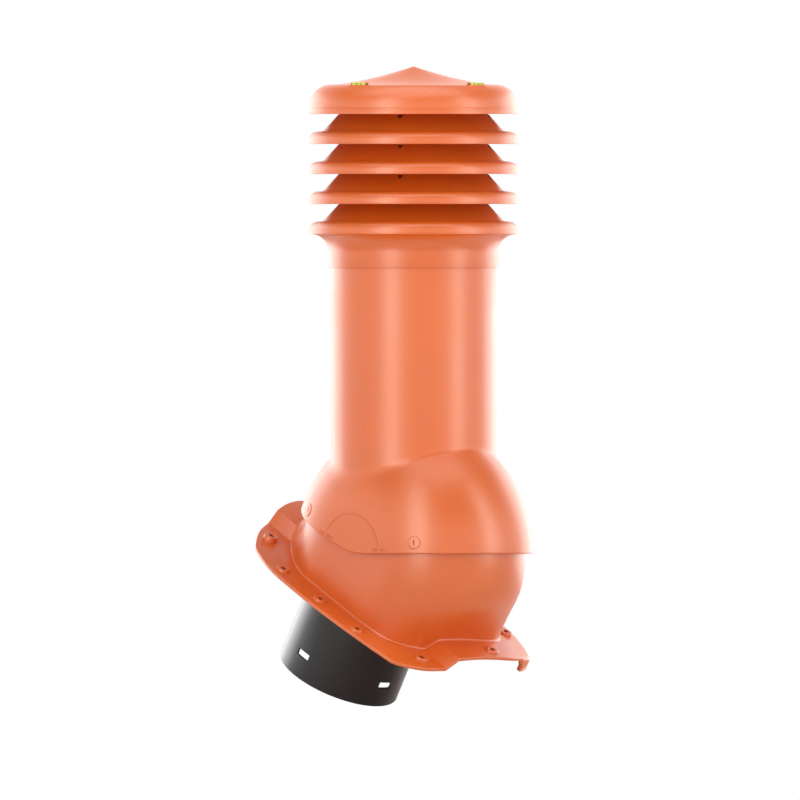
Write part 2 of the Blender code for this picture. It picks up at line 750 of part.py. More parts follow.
def flange_outline():
    """The whole outline, anticlockwise as seen from above, as down and away from the near side."""
    near = [station_place(station, -FLANGE_NEAR_WIDTH) for station in NEAR_STATIONS]
    far = [station_place(station, FLANGE_FAR_WIDTH) for station in FAR_STATIONS]
    return rounded_outline(list(reversed(near)) + far, 2)


def flange_profile(low_side, high_side, top_of, bottom_of):
    """A section across the roof: a top line and a bottom line, both taken from the flange's top."""
    crown = [FAR_CREASE + (NEAR_CREASE - FAR_CREASE) * row / CROWN_ROWS
             for row in range(CROWN_ROWS + 1)]
    marks = [low_side, *(s for s in crown + [BAND_INNER] if low_side < s < high_side), high_side]
    top = [(-side, top_of(flange_rise(side))) for side in marks]
    bottom = [(-side, bottom_of(flange_rise(side))) for side in marks]
    return list(reversed(top)) + bottom


def across_frame():
    """A frame with X away from the near side, Y out of the roof and Z down the roof."""
    away = Vector((0, 1, 0))
    out = roof_point(0, 0, 1)
    return Matrix((away, out, away.cross(out))).transposed().to_4x4()


def make_flange():
    far = FLANGE_NEAR_WIDTH + FLANGE_FAR_WIDTH
    long = FLANGE_DOWNHILL + FLANGE_UPHILL
    level = roof_frame(0, 0, 0)
    profile = flange_profile(-far, far, lambda rise: rise, lambda rise: rise - FLANGE_WALL)
    flange = outline_prism("flange_plate", profile, -long, long, across_frame())
    outline = flange_outline()
    boolean(flange, outline_prism("flange_outline", outline, -far, 0, level), 'INTERSECT')
    skirt_profile = flange_profile(-far, LIP_STOP, lambda rise: rise - FLANGE_WALL / 2,
                                   lambda rise: min(LIP_BOTTOM, rise - FLANGE_WALL))
    skirt = outline_prism("flange_lip", skirt_profile, LIP_UPHILL, long, across_frame())
    around = inset_outline(outline, LIP_SETBACK)
    boolean(skirt, outline_prism("lip_outline", around, -far, 0, level), 'INTERSECT')
    inner = outline_prism("lip_inside", inset_outline(outline, LIP_WALL), -2 * far, far, level)
    boolean(skirt, inner)
    boolean(flange, skirt, 'UNION')
    inside = [foot_ring(BASE_WALL / 2, LIP_BOTTOM - FLANGE_WALL), foot_ring(BASE_WALL / 2, 0)]
    boolean(flange, loft("flange_opening", inside, False, cutters))
    return flange


def boss_places():
    """Down, side and height of each screw boss, near side first."""
    rows = [(BOSS_DOWN - BOSS_PITCH * step, BOSS_SIDE) for step in (-1, 0, 1)]
    places = [(down, side, LOW_BOSS) for down, side in rows]
    places += [(down, -side, LOW_BOSS) for down, side in rows[1:]]
    down, side = BOSS_CORNER
    places += [(down, side, TALL_BOSS), (down, -side, TALL_BOSS)]
    places += [(down, side, LOW_BOSS) for down, side in FRONT_BOSSES]
    places.append((*FAR_BOSS, MIDDLE_BOSS))
    return places


def make_flashing_base():
    rings = [foot_ring(-FOOT_BEAD, SEAT_RISE), foot_ring(-FOOT_BEAD)]
    rings += reversed(body_rings(0))
    rings += body_rings(BASE_WALL)
    rings.append(foot_ring(BASE_WALL, BAND_RISE))
    base = loft("flashing_base", rings, False, parts, terracotta)
    boolean(base, make_flange(), 'UNION')
    bore = cone("pipe_bore", PIPE_RADIUS + GAP, PIPE_RADIUS + GAP, SEAT_RISE - THROUGH,
                BAND_RISE + BASE_WALL, cutters, roof_frame(-PIPE_UPHILL, 0, 0), SEGMENTS)
    boolean(base, bore)
    for number, (down, side, height) in enumerate(boss_places(), 1):
        frame = roof_frame(down, side, flange_rise(side))
        boss = cone(f"boss_{number}", BOSS_RADIUS, BOSS_TOP_RADIUS, -FLANGE_WALL / 2, height,
                    cutters, frame, 8)
        boolean(base, boss, 'UNION')
        hole = cone(f"boss_hole_{number}", BOSS_HOLE_RADIUS, BOSS_HOLE_RADIUS, -THROUGH,
                    THROUGH, cutters, frame, 6)
        boolean(base, hole)
    for number, frame in enumerate(screw_frames(), 1):
        hole = cone(f"base_screw_bore_{number}", SCREW_SHANK_RADIUS + GAP,
                    SCREW_SHANK_RADIUS + GAP, -3 * BASE_CLEARANCE, HOOD_WALL, cutters, frame, 8)
        boolean(base, hole)
    shade(base, 30)
    return base


# Duct pipe

def make_duct_pipe():
    inner = PIPE_RADIUS - PIPE_WALL
    seat = BAND_RISE + GAP
    profile = [(PIPE_RADIUS, PIPE_TOP_RISE), (PIPE_RADIUS, seat + PIPE_WALL),
               (PIPE_RADIUS + PIPE_COLLAR, seat + PIPE_WALL), (PIPE_RADIUS + PIPE_COLLAR, seat),
               (PIPE_RADIUS, seat), (PIPE_RADIUS, PIPE_END_RISE), (inner, PIPE_END_RISE),
               (inner, PIPE_TOP_RISE)]
    frame = roof_frame(-PIPE_UPHILL, 0, 0)
    pipe = turned("duct_pipe", profile, parts, frame, black)
    length, height = PIPE_SLOT
    for number in range(4):
        turn = frame @ Matrix.Rotation(math.radians(90 * number), 4, 'Z')
        slot = box(f"pipe_slot_{number + 1}", (4 * PIPE_WALL, length, height),
                   (PIPE_RADIUS, 0, PIPE_END_RISE + PIPE_SLOT_ABOVE_END), cutters, turn)
        boolean(pipe, slot)
    shade(pipe)
    return pipe


make_vent_cap()
for ring_number in range(1, LOUVRE_RINGS + 1):
    make_louvre_ring(ring_number)
make_head_collar()
make_hood()
for screw_number, screw_frame in enumerate(screw_frames(), 1):
    make_hood_screw(screw_number, screw_frame)
make_flashing_base()
make_duct_pipe()
bpy.context.view_layer.update()
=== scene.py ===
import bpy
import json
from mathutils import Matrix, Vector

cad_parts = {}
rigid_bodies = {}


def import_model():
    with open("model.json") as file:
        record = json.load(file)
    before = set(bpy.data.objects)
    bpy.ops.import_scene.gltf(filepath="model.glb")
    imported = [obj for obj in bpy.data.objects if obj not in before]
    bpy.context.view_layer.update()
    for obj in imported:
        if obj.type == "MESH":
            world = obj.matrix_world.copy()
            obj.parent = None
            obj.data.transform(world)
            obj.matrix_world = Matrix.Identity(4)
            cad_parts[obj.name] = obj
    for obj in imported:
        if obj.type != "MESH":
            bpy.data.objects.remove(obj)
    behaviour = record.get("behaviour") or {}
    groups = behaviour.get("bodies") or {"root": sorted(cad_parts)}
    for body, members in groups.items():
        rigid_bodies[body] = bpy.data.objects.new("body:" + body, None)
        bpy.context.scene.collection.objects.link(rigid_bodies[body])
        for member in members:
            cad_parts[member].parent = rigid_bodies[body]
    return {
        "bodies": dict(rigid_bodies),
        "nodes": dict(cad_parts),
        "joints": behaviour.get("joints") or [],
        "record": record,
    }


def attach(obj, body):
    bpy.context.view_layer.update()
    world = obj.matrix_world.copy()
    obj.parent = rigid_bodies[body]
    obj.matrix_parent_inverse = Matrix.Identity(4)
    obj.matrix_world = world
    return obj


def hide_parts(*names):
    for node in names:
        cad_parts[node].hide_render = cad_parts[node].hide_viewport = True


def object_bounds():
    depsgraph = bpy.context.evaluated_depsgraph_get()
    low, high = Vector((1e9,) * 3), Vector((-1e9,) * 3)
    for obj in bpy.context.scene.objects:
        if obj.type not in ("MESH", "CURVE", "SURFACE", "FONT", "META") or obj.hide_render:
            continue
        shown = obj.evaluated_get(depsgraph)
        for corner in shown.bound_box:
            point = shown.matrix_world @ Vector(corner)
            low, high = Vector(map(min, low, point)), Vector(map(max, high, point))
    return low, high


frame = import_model()
cad_low, cad_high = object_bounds()
print("CAD box", [round(v, 4) for v in (*cad_low, *cad_high)])

# %% Modules and the unit
import json
import math

import bpy
from mathutils import Matrix, Vector

MM = 0.001

# %% [markdown]
# ## Places on the roof
# The roof falls at 30 degrees, and the origin lies on it, under the flange. The pieces above are
# easier to measure from one point on the tube's own axis, where the rounded hood and the rounded
# base share a level axis. It is called the barrel centre here, and heights are counted from it.
# %% The barrel centre and the roof
ROOF_PITCH = math.radians(30)


def roof_direction(down, side, rise):
    """Down the roof, towards the near side and square out of the roof, as an upright vector."""
    return Vector((down * math.cos(ROOF_PITCH) + rise * math.sin(ROOF_PITCH), -side,
                   -down * math.sin(ROOF_PITCH) + rise * math.cos(ROOF_PITCH)))


BAND_RISE = -67 * MM
FLANGE_WALL = 4.4 * MM
SEAT_RISE = BAND_RISE - FLANGE_WALL
centre = -roof_direction(31 * MM, 121 * MM, SEAT_RISE)


def on_roof(down, side, rise):
    return centre + roof_direction(down, side, rise)


print("barrel centre at", [round(v, 4) for v in centre])

# %% [markdown]
# ## Camera
# The photograph has no perspective: level edges stay parallel, so the camera is orthographic. It
# looks level and from between the near side and the downhill side, which shows both the round
# front of the hood and the flat disc on its side.
# %% A level camera at 45 degrees
PIXEL = 1.2 * MM
IMAGE_PIXELS = 800
AIM_RIGHT = -16.2 * MM
AIM_UP = 184.32 * MM
CAMERA_DISTANCE = 3
camera_data = bpy.data.cameras.new("photo_camera")
camera_data.type = 'ORTHO'
camera_data.ortho_scale = IMAGE_PIXELS * PIXEL
camera_data.dof.use_dof = False
camera = bpy.data.objects.new("photo_camera", camera_data)
bpy.context.scene.collection.objects.link(camera)
towards_camera = Vector((1, -1, 0)).normalized()
picture_right = Vector((1, 1, 0)).normalized()
aim = centre + picture_right * AIM_RIGHT + Vector((0, 0, AIM_UP))
camera.location = aim + towards_camera * CAMERA_DISTANCE
camera.rotation_euler = (-towards_camera).to_track_quat('-Z', 'Y').to_euler()
bpy.context.scene.camera = camera
print("camera at", [round(v, 3) for v in camera.location])

# %% [markdown]
# ## Shader nodes
# The room and the plastics are both made of shader nodes. Three helpers add a node, map a value
# from one range to another, and combine two values.
# %% Add, stretch and combine


def add_node(tree, kind, **settings):
    """Add a shader node, with its settings by attribute name and its inputs by socket name."""
    node = tree.nodes.new(kind)
    for key, value in settings.items():
        if hasattr(node, key):
            setattr(node, key, value)
        else:
            node.inputs[key.replace("_", " ")].default_value = value
    return node


def stretch(tree, source, low, high, to_low, to_high):
    """Map a value from one range to another, clamped."""
    node = add_node(tree, 'ShaderNodeMapRange')
    for socket_name, value in zip(("From Min", "From Max", "To Min", "To Max"),
                                  (low, high, to_low, to_high)):
        if isinstance(value, (int, float)):
            node.inputs[socket_name].default_value = value
        else:
            tree.links.new(value, node.inputs[socket_name])
    tree.links.new(source, node.inputs["Value"])
    return node.outputs["Result"]


def combine(tree, operation, first, second):
    """Add, subtract or multiply two values."""
    node = add_node(tree, 'ShaderNodeMath', operation=operation)
    for index, value in enumerate((first, second)):
        if isinstance(value, (int, float)):
            node.inputs[index].default_value = value
        else:
            tree.links.new(value, node.inputs[index])
    return node.outputs[0]


print("helpers for shader nodes:", add_node.__name__, stretch.__name__, combine.__name__)

# %% [markdown]
# ## Light
# The plastic shows soft upright bands: one broad light band left of the middle, one right of it,
# and darker ones between them. Those are two tall soft boxes mirrored in a satin surface. The
# white edges come from two more boxes behind, and a fifth hangs overhead. The front ones stand
# high, so that each rim shades the cone below it.
# %% Five soft boxes
LIGHT_TARGET = centre + Vector((0, 0, 0.2))


def soft_box(name, azimuth, height, width, tall, radiance, reach=1.6, colour=(1, 1, 1)):
    """An area light round the tube, turned by azimuth from the camera, to the right."""
    turn = Matrix.Rotation(math.radians(azimuth), 3, 'Z')
    data = bpy.data.lights.new(name, 'AREA')
    data.shape = 'RECTANGLE'
    data.size = width
    data.size_y = tall
    data.energy = radiance * math.pi * width * tall
    data.color = colour
    light = bpy.data.objects.new(name, data)
    bpy.context.scene.collection.objects.link(light)
    light.location = LIGHT_TARGET + turn @ towards_camera * reach
    light.rotation_euler = (LIGHT_TARGET - light.location).to_track_quat('-Z', 'Y').to_euler()
    light.location.z += height
    light.visible_camera = False
    return light


WARM = (1.0, 0.97, 0.86)
soft_box("left_box", -30, 0.75, 0.55, 2.2, 3.8, colour=WARM)
soft_box("right_box", 63, 0.75, 0.5, 2.2, 3.5, colour=WARM)
soft_box("back_left_box", -138, 0.1, 1.2, 1.6, 2.1)
soft_box("back_right_box", 138, 0.1, 1.2, 1.6, 2.1)
top_box = soft_box("top_box", 0, 0, 1.4, 1.4, 1.6, reach=0.3)
top_box.location.z += 1.4
top_box.rotation_euler = (0, 0, 0)

# %% [markdown]
# ## Room
# The room is white to the camera. In reflections it is bright at eye level and dim overhead, and
# it fills the shadows little, so that the soft boxes draw the form.
# %% A white room with a dim ceiling
ROOM_SEEN = 1.0
ROOM_FILL = 0.24
ROOM_LEVEL, ROOM_OVERHEAD = 1.8, 0.4
CEILING_START, CEILING_END = 0.2, 0.65
room = bpy.data.worlds.new("white_room")
room.use_nodes = True
room_tree = room.node_tree
room_shade = room_tree.nodes["Background"]
room_shade.inputs["Color"].default_value = (1, 1, 1, 1)
ray = add_node(room_tree, 'ShaderNodeLightPath')
way = add_node(room_tree, 'ShaderNodeTexCoord')
way_parts = add_node(room_tree, 'ShaderNodeSeparateXYZ')
room_tree.links.new(way.outputs["Generated"], way_parts.inputs["Vector"])
mirrored = stretch(room_tree, way_parts.outputs["Z"], CEILING_START, CEILING_END, ROOM_LEVEL,
                   ROOM_OVERHEAD)
lit = stretch(room_tree, ray.outputs["Is Camera Ray"], 0, 1, mirrored, ROOM_SEEN)
lit = stretch(room_tree, ray.outputs["Is Diffuse Ray"], 0, 1, lit, ROOM_FILL)
room_tree.links.new(lit, room_shade.inputs["Strength"])
bpy.context.scene.world = room
bpy.context.scene.view_settings.view_transform = 'Standard'
print("room nodes:", len(room_tree.nodes))

# %% [markdown]
# ## Plastic
# All the red pieces are moulded in one terracotta plastic. Seen close, a moulding isn't an even
# colour: there is a faint grain from the tool, slow changes in gloss where the melt flowed, and
# hairline rubs from handling. These three are made once, in a shader group that puts out a tone, a
# roughness and a height. Each material then mixes its own colours with them.
# %% The shared surface group
surface_group = bpy.data.node_groups.new("moulded_surface", 'ShaderNodeTree')
socket = surface_group.interface.new_socket
for name, value in (("Rough", 0.3), ("Rub", 0.5)):
    socket(name, in_out='INPUT', socket_type='NodeSocketFloat').default_value = value
for name in ("Tone", "Roughness", "Height"):
    socket(name, in_out='OUTPUT', socket_type='NodeSocketFloat')


# %% Grain, flow and rubs inside the group
tree = surface_group
group_in = tree.nodes.new('NodeGroupInput')
group_out = tree.nodes.new('NodeGroupOutput')
place = add_node(tree, 'ShaderNodeTexCoord')
grain = add_node(tree, 'ShaderNodeTexNoise', Scale=900.0, Detail=3.0)
flow = add_node(tree, 'ShaderNodeTexNoise', Scale=9.0, Detail=4.0, Distortion=0.6)
tree.links.new(place.outputs["Object"], grain.inputs["Vector"])
tree.links.new(place.outputs["Object"], flow.inputs["Vector"])
turned_place = add_node(tree, 'ShaderNodeMapping', Rotation=(0.5, 0.9, 0.3), Scale=(1, 1, 0.06))
tree.links.new(place.outputs["Object"], turned_place.inputs["Vector"])
scratch = add_node(tree, 'ShaderNodeTexNoise', Scale=420.0, Detail=2.0)
tree.links.new(turned_place.outputs["Vector"], scratch.inputs["Vector"])
rub = stretch(tree, scratch.outputs["Fac"], 0.66, 0.74, 0.0, 1.0)
rub = combine(tree, 'MULTIPLY', rub, group_in.outputs["Rub"])
rub = combine(tree, 'MULTIPLY', rub, stretch(tree, flow.outputs["Fac"], 0.5, 0.62, 0.0, 1.0))
flow_part = stretch(tree, flow.outputs["Fac"], 0.3, 0.7, -0.03, 0.03)
grain_part = stretch(tree, grain.outputs["Fac"], 0.2, 0.8, -0.02, 0.02)
rough = combine(tree, 'ADD', group_in.outputs["Rough"], flow_part)
rough = combine(tree, 'ADD', rough, grain_part)
rough = combine(tree, 'ADD', rough, combine(tree, 'MULTIPLY', rub, 0.12))
tree.links.new(rough, group_out.inputs["Roughness"])
tone = stretch(tree, flow.outputs["Fac"], 0.25, 0.75, 0.0, 1.0)
tree.links.new(combine(tree, 'ADD', tone, combine(tree, 'MULTIPLY', rub, 0.5)),
               group_out.inputs["Tone"])
height = combine(tree, 'SUBTRACT', grain.outputs["Fac"], combine(tree, 'MULTIPLY', rub, 0.3))
tree.links.new(height, group_out.inputs["Height"])
print("surface group nodes:", len(tree.nodes))

# %% Plastic materials


def plastic(name, dark, light, rough, rub=0.5, bump=0.05, shine=0.5):
    """A moulded plastic between two close colours."""
    material = bpy.data.materials.new(name)
    material.use_nodes = True
    nodes = material.node_tree
    shader = nodes.nodes["Principled BSDF"]
    surface = add_node(nodes, 'ShaderNodeGroup', node_tree=surface_group)
    surface.inputs["Rough"].default_value = rough
    surface.inputs["Rub"].default_value = rub
    colours = add_node(nodes, 'ShaderNodeMix', data_type='RGBA')
    colours.inputs["A"].default_value = (*dark, 1)
    colours.inputs["B"].default_value = (*light, 1)
    bumps = add_node(nodes, 'ShaderNodeBump', Strength=bump, Distance=0.2 * MM)
    nodes.links.new(surface.outputs["Tone"], colours.inputs["Factor"])
    nodes.links.new(colours.outputs["Result"], shader.inputs["Base Color"])
    nodes.links.new(surface.outputs["Roughness"], shader.inputs["Roughness"])
    nodes.links.new(surface.outputs["Height"], bumps.inputs["Height"])
    nodes.links.new(bumps.outputs["Normal"], shader.inputs["Normal"])
    shader.inputs["Specular IOR Level"].default_value = shine
    return material


terracotta = plastic("terracotta_plastic", (0.71, 0.122, 0.009), (0.75, 0.136, 0.012), 0.36,
                     shine=1.0)
black = plastic("black_plastic", (0.008, 0.008, 0.009), (0.014, 0.014, 0.015), 0.30, shine=0.6)
# Near-black red for the latch fills and the hole sleeves: painted shade in the openings and holes.
shadow = plastic("painted_shade", (0.030, 0.004, 0.003), (0.045, 0.006, 0.004), 0.6, rub=0.1)
print("plastics:", terracotta.name, black.name, shadow.name)

# %% [markdown]
# ## Working by hand, in code
# Most pieces here are turned: a line drawn with a few extrudes, spun round the tube's axis. The
# helpers below do what a modeller does with the mouse. They pick one object, draw a line from
# a single point, spin it, and cut one piece with another.
# %% Pick, draw, spin and cut


def only(piece):
    """Select one object and nothing else."""
    bpy.ops.object.select_all(action='DESELECT')
    piece.select_set(True)
    bpy.context.view_layer.objects.active = piece


def draw_line(name, points):
    """A line of edges, drawn by extruding one point, and left in edit mode, selected."""
    bpy.ops.object.select_all(action='DESELECT')
    bpy.ops.mesh.primitive_plane_add(size=MM, location=(0, 0, 0))
    piece = bpy.context.object
    piece.name = name
    bpy.ops.object.mode_set(mode='EDIT')
    bpy.ops.mesh.merge(type='CENTER')
    bpy.ops.transform.translate(value=points[0])
    for before, point in zip(points, points[1:]):
        bpy.ops.mesh.extrude_vertices_move(TRANSFORM_OT_translate={"value": point - before})
    bpy.ops.mesh.select_all(action='SELECT')
    bpy.ops.mesh.remove_doubles(threshold=0.001 * MM)
    return piece


def turned(name, profile, frame, steps=128, closed=True):
    """Spin a profile of (radius, height) points round a frame's Z axis."""
    ends = list(profile) + [profile[0]] if closed else list(profile)
    piece = draw_line(name, [frame @ Vector((radius, 0, height)) for radius, height in ends])
    bpy.ops.mesh.spin(steps=steps, angle=math.tau, center=frame.translation,
                      axis=frame.col[2].to_3d(), use_auto_merge=True)
    bpy.ops.mesh.select_all(action='SELECT')
    bpy.ops.mesh.remove_doubles(threshold=0.002 * MM)
    bpy.ops.mesh.normals_make_consistent(inside=False)
    bpy.ops.object.mode_set(mode='OBJECT')
    return piece


def prism(name, outline, way):
    """Fill an outline and extrude it along a vector."""
    piece = draw_line(name, list(outline) + [outline[0]])
    bpy.ops.mesh.edge_face_add()
    bpy.ops.mesh.extrude_region_move(TRANSFORM_OT_translate={"value": way})
    bpy.ops.mesh.select_all(action='SELECT')
    bpy.ops.mesh.normals_make_consistent(inside=False)
    bpy.ops.object.mode_set(mode='OBJECT')
    return piece


def apply_modifier(piece, kind, **settings):
    only(piece)
    modifier = piece.modifiers.new(kind.title(), kind)
    for key, value in settings.items():
        setattr(modifier, key, value)
    bpy.ops.object.modifier_apply(modifier=modifier.name)


def cut(piece, tool, operation='DIFFERENCE'):
    """Cut, join or keep what two pieces share, and remove the tool."""
    apply_modifier(piece, 'BOOLEAN', operation=operation, solver='EXACT', object=tool)
    bpy.data.objects.remove(tool)


def soften(profile, radius, steps=3, least=math.radians(25)):
    """Give the corners of a closed profile that turn by more than least a small round."""
    soft = []
    points = [Vector(point) for point in profile]
    for index, here in enumerate(points):
        back = points[index - 1] - here
        on = points[(index + 1) % len(points)] - here
        if (-back).angle(on) < least:
            soft.append(here)
            continue
        start = here + back.normalized() * min(radius, back.length / 2.2)
        end = here + on.normalized() * min(radius, on.length / 2.2)
        for step in range(steps + 1):
            t = step / steps
            soft.append(start * (1 - t) ** 2 + here * 2 * t * (1 - t) + end * t * t)
    return soft


def arc(middle, across, up, start, end, steps):
    """Points of an elliptical arc from one angle to another, in degrees."""
    angles = [math.radians(start + (end - start) * step / steps) for step in range(steps + 1)]
    return [(middle[0] + across * math.cos(a), middle[1] + up * math.sin(a)) for a in angles]


def done(piece, material, nodes, smooth=35):
    """Settle a piece: its place in its mesh, its shading, its material and what it stands for."""
    only(piece)
    bpy.ops.object.transform_apply(location=True, rotation=True, scale=True)
    bpy.ops.object.shade_smooth_by_angle(angle=math.radians(smooth))
    piece.data.materials.clear()
    piece.data.materials.append(material)
    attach(piece, "root")
    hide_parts(*nodes)
    piece.data.calc_loop_triangles()
    print(piece.name, len(piece.data.loop_triangles), "triangles,",
          [round(v / MM, 1) for v in piece.dimensions], "mm")
    return piece


def moulded(piece, *nodes, smooth=35):
    """Settle a piece of the red moulding."""
    return done(piece, terracotta, nodes, smooth)


def upright(height):
    """A frame on the tube's axis, at a height over the barrel centre."""
    return Matrix.Translation(centre + Vector((0, 0, height)))


# %% [markdown]
# ## Louvre rings
# Three loose rings are stacked between the cap and the collar. Each has a round shoulder and
# a short rim that sheds the rain, a cone that rises to a throat, and four posts that carry the
# next tier. The section is drawn once. The shoulder is a quarter circle, and the collar shares
# the whole upper part of it.
# %% The section that the rings and the collar share
RIM_RADIUS = 125.4 * MM
RIM_BAND = 4.5 * MM
RIM_ROUND = 10.4 * MM
HEAD_WALL = 2.5 * MM
LOUVRE_PITCH = 36 * MM
SHOULDER = RIM_BAND + RIM_ROUND
CONE_FOOT = RIM_RADIUS - 20.4 * MM
CONE_FOOT_HEIGHT = SHOULDER + 4.3 * MM
CONE_SLOPE = math.tan(math.radians(47.3))
LIP_HEIGHT = 40 * MM
CONE_TOP = CONE_FOOT - (LIP_HEIGHT - CONE_FOOT_HEIGHT) / CONE_SLOPE
LIP_RADIUS = CONE_TOP - 5.3 * MM
GROOVE_HEIGHT = SHOULDER + 1.9 * MM


def cone_radius(height):
    return CONE_FOOT - (height - CONE_FOOT_HEIGHT) / CONE_SLOPE


def ring_outside():
    """From the throat down the cone, over the shoulder and down the rim."""
    turn_in = RIM_RADIUS - RIM_ROUND
    groove = cone_radius(GROOVE_HEIGHT)
    return [(LIP_RADIUS, LIP_HEIGHT), (CONE_TOP, LIP_HEIGHT), (groove, GROOVE_HEIGHT),
            (groove + 2.2 * MM, SHOULDER + 0.5 * MM),
            *arc((turn_in, RIM_BAND), RIM_ROUND, RIM_ROUND, 90, 0, 14), (RIM_RADIUS, 0)]


def ring_inside():
    """The underside of a ring, from its rim back to its throat."""
    slant = HEAD_WALL / math.sin(math.atan(CONE_SLOPE))
    inner = RIM_ROUND - HEAD_WALL
    under = SHOULDER - HEAD_WALL
    return [*arc((RIM_RADIUS - RIM_ROUND, RIM_BAND), inner, inner, 0, 90, 8),
            (cone_radius(under) - slant, under + 0.5 * MM),
            (cone_radius(LIP_HEIGHT - HEAD_WALL) - slant, LIP_HEIGHT - HEAD_WALL),
            (LIP_RADIUS, LIP_HEIGHT - HEAD_WALL)]


ring_section = soften(ring_outside() + [(RIM_RADIUS - HEAD_WALL, 0)] + ring_inside(), 0.7 * MM)
print("ring section:", len(ring_section), "points")

# %% Posts and latch openings
POST_AZIMUTHS = [math.radians(-55 + 90 * quarter) for quarter in range(4)]
POST_RADIUS = LIP_RADIUS + 2 * MM
POST_SIZE = (3 * MM, 10 * MM)
LATCH_FOOT = 30 * MM
LATCH_CUT, LATCH_FILL = 9 * MM, 1.6 * MM
LATCH_PARTS = (("latch_stem", 1.7 * MM, 4 * MM, 2.6 * MM),
               ("latch_head", 5.4 * MM, 1.7 * MM, 4.8 * MM))


def bar(name, size, frame, round_edge=0.5 * MM):
    """A small bar with rounded edges, on a frame."""
    bpy.ops.object.select_all(action='DESELECT')
    bpy.ops.mesh.primitive_cube_add(size=1)
    piece = bpy.context.object
    piece.name = name
    piece.data.transform(Matrix.Diagonal((*size, 1)))
    bpy.ops.object.mode_set(mode='EDIT')
    bpy.ops.mesh.select_all(action='SELECT')
    bpy.ops.mesh.bevel(offset=round_edge, segments=2, affect='EDGES')
    bpy.ops.object.mode_set(mode='OBJECT')
    piece.data.transform(frame)
    return piece


def join(pieces, name):
    """Join several pieces to one object."""
    only(pieces[0])
    for piece in pieces[1:]:
        piece.select_set(True)
    bpy.ops.object.join()
    pieces[0].name = name
    return pieces[0]


def posts(height, top):
    """Four posts from the throat up to the tier above."""
    low = LIP_HEIGHT - HEAD_WALL / 2
    return [bar("post", (*POST_SIZE, top - low),
                upright(height) @ Matrix.Rotation(azimuth, 4, 'Z')
                @ Matrix.Translation((POST_RADIUS, 0, (low + top) / 2)))
            for azimuth in POST_AZIMUTHS]


def latches(height, deep):
    """T-shaped latches in a cone, one below each post: cutters if deep, else thin fills that carry
    painted shade.
    """
    made = []
    place = Matrix.Translation((cone_radius(LATCH_FOOT), 0, LATCH_FOOT))
    lean = Matrix.Rotation(math.atan(1 / CONE_SLOPE), 4, 'Y').inverted()
    for azimuth in POST_AZIMUTHS:
        frame = upright(height) @ Matrix.Rotation(azimuth, 4, 'Z') @ place @ lean
        for name, wide, tall, rise in LATCH_PARTS:
            made.append(bar(name, (deep, wide, tall), frame @ Matrix.Translation((0, 0, rise)),
                            0.2 * MM))
    return made


# %% The three rings
COLLAR_HEIGHT = 383.5 * MM
CAP_SPIGOT = 20 * MM
GAP = 0.3 * MM
for number in (1, 2, 3):
    height = COLLAR_HEIGHT + (4 - number) * LOUVRE_PITCH
    landing = CAP_SPIGOT if number == 1 else LIP_HEIGHT - HEAD_WALL
    ring = turned(f"ring_{number}", ring_section, upright(height))
    for latch in latches(height, LATCH_CUT):
        cut(ring, latch)
    ring = join([ring, *posts(height, LOUVRE_PITCH + landing - GAP)], f"ring_{number}")
    # The thin latch fills take the near-black shadow plastic: painted shade in the T-shaped
    # openings.
    done(join(latches(height, LATCH_FILL), f"latches_{number}"), shadow,
         [f"louvre_ring_{number}"])
    moulded(ring, f"louvre_ring_{number}")

# %% [markdown]
# ## Rain cap
# The cap is a thin dome with hollow flanks, a big round shoulder and a short rim with a fine
# crease above it. Its section runs over the top and back along the underside, with a ring below
# that slips over the posts. Two small cradles are moulded on it, and a groove in each takes
# a spirit level, so the fitter can see that the head stands upright.
# %% The section of the cap
CAP_BOTTOM = COLLAR_HEIGHT + 4 * LOUVRE_PITCH
CAP_TOP = 57.4 * MM
CAP_EAVE = 35.2 * MM
CAP_ROUND = 25.6 * MM
CAP_BAND = 7.9 * MM
CAP_SIDE = RIM_RADIUS - 0.8 * MM
EAVE_RADIUS = CAP_SIDE - CAP_ROUND
EAVE_DROP = CAP_EAVE - CAP_BAND - 2.1 * MM


def dome(radius):
    """Height of the hollow-sided dome."""
    return CAP_EAVE + (CAP_TOP - CAP_EAVE) * (1 - radius / EAVE_RADIUS) ** 1.5


shoulder_middle = (EAVE_RADIUS, CAP_EAVE - EAVE_DROP)
cap_section = [(0, CAP_TOP - 0.2 * MM)]
cap_section += [(EAVE_RADIUS * step / 24, dome(EAVE_RADIUS * step / 24) - 0.1 * MM / step)
                for step in range(1, 24)]
cap_section += arc(shoulder_middle, CAP_ROUND, EAVE_DROP, 90, 0, 24)
cap_section += [(CAP_SIDE, CAP_BAND + 0.3 * MM), (CAP_SIDE + 0.3 * MM, CAP_BAND - 0.1 * MM),
                (RIM_RADIUS, 0.4 * MM), (RIM_RADIUS - 0.4 * MM, 0),
                (RIM_RADIUS - HEAD_WALL, 0)]
cap_section += arc(shoulder_middle, CAP_ROUND - HEAD_WALL, EAVE_DROP - HEAD_WALL, 0, 90, 12)
spigot_outer = LIP_RADIUS + 4 * MM
cap_section += [(spigot_outer, dome(spigot_outer) - HEAD_WALL), (spigot_outer, CAP_SPIGOT),
                (LIP_RADIUS, CAP_SPIGOT), (LIP_RADIUS, dome(LIP_RADIUS) - HEAD_WALL)]
cap_section += [(EAVE_RADIUS * share, dome(EAVE_RADIUS * share) - HEAD_WALL)
                for share in (0.6, 0.45, 0.3, 0.2, 0.1)]
cap_section.append((0, CAP_TOP - 1.4 * HEAD_WALL))
cap = turned("cap", cap_section, upright(CAP_BOTTOM), steps=160, closed=False)
print("cap section:", len(cap_section), "points")

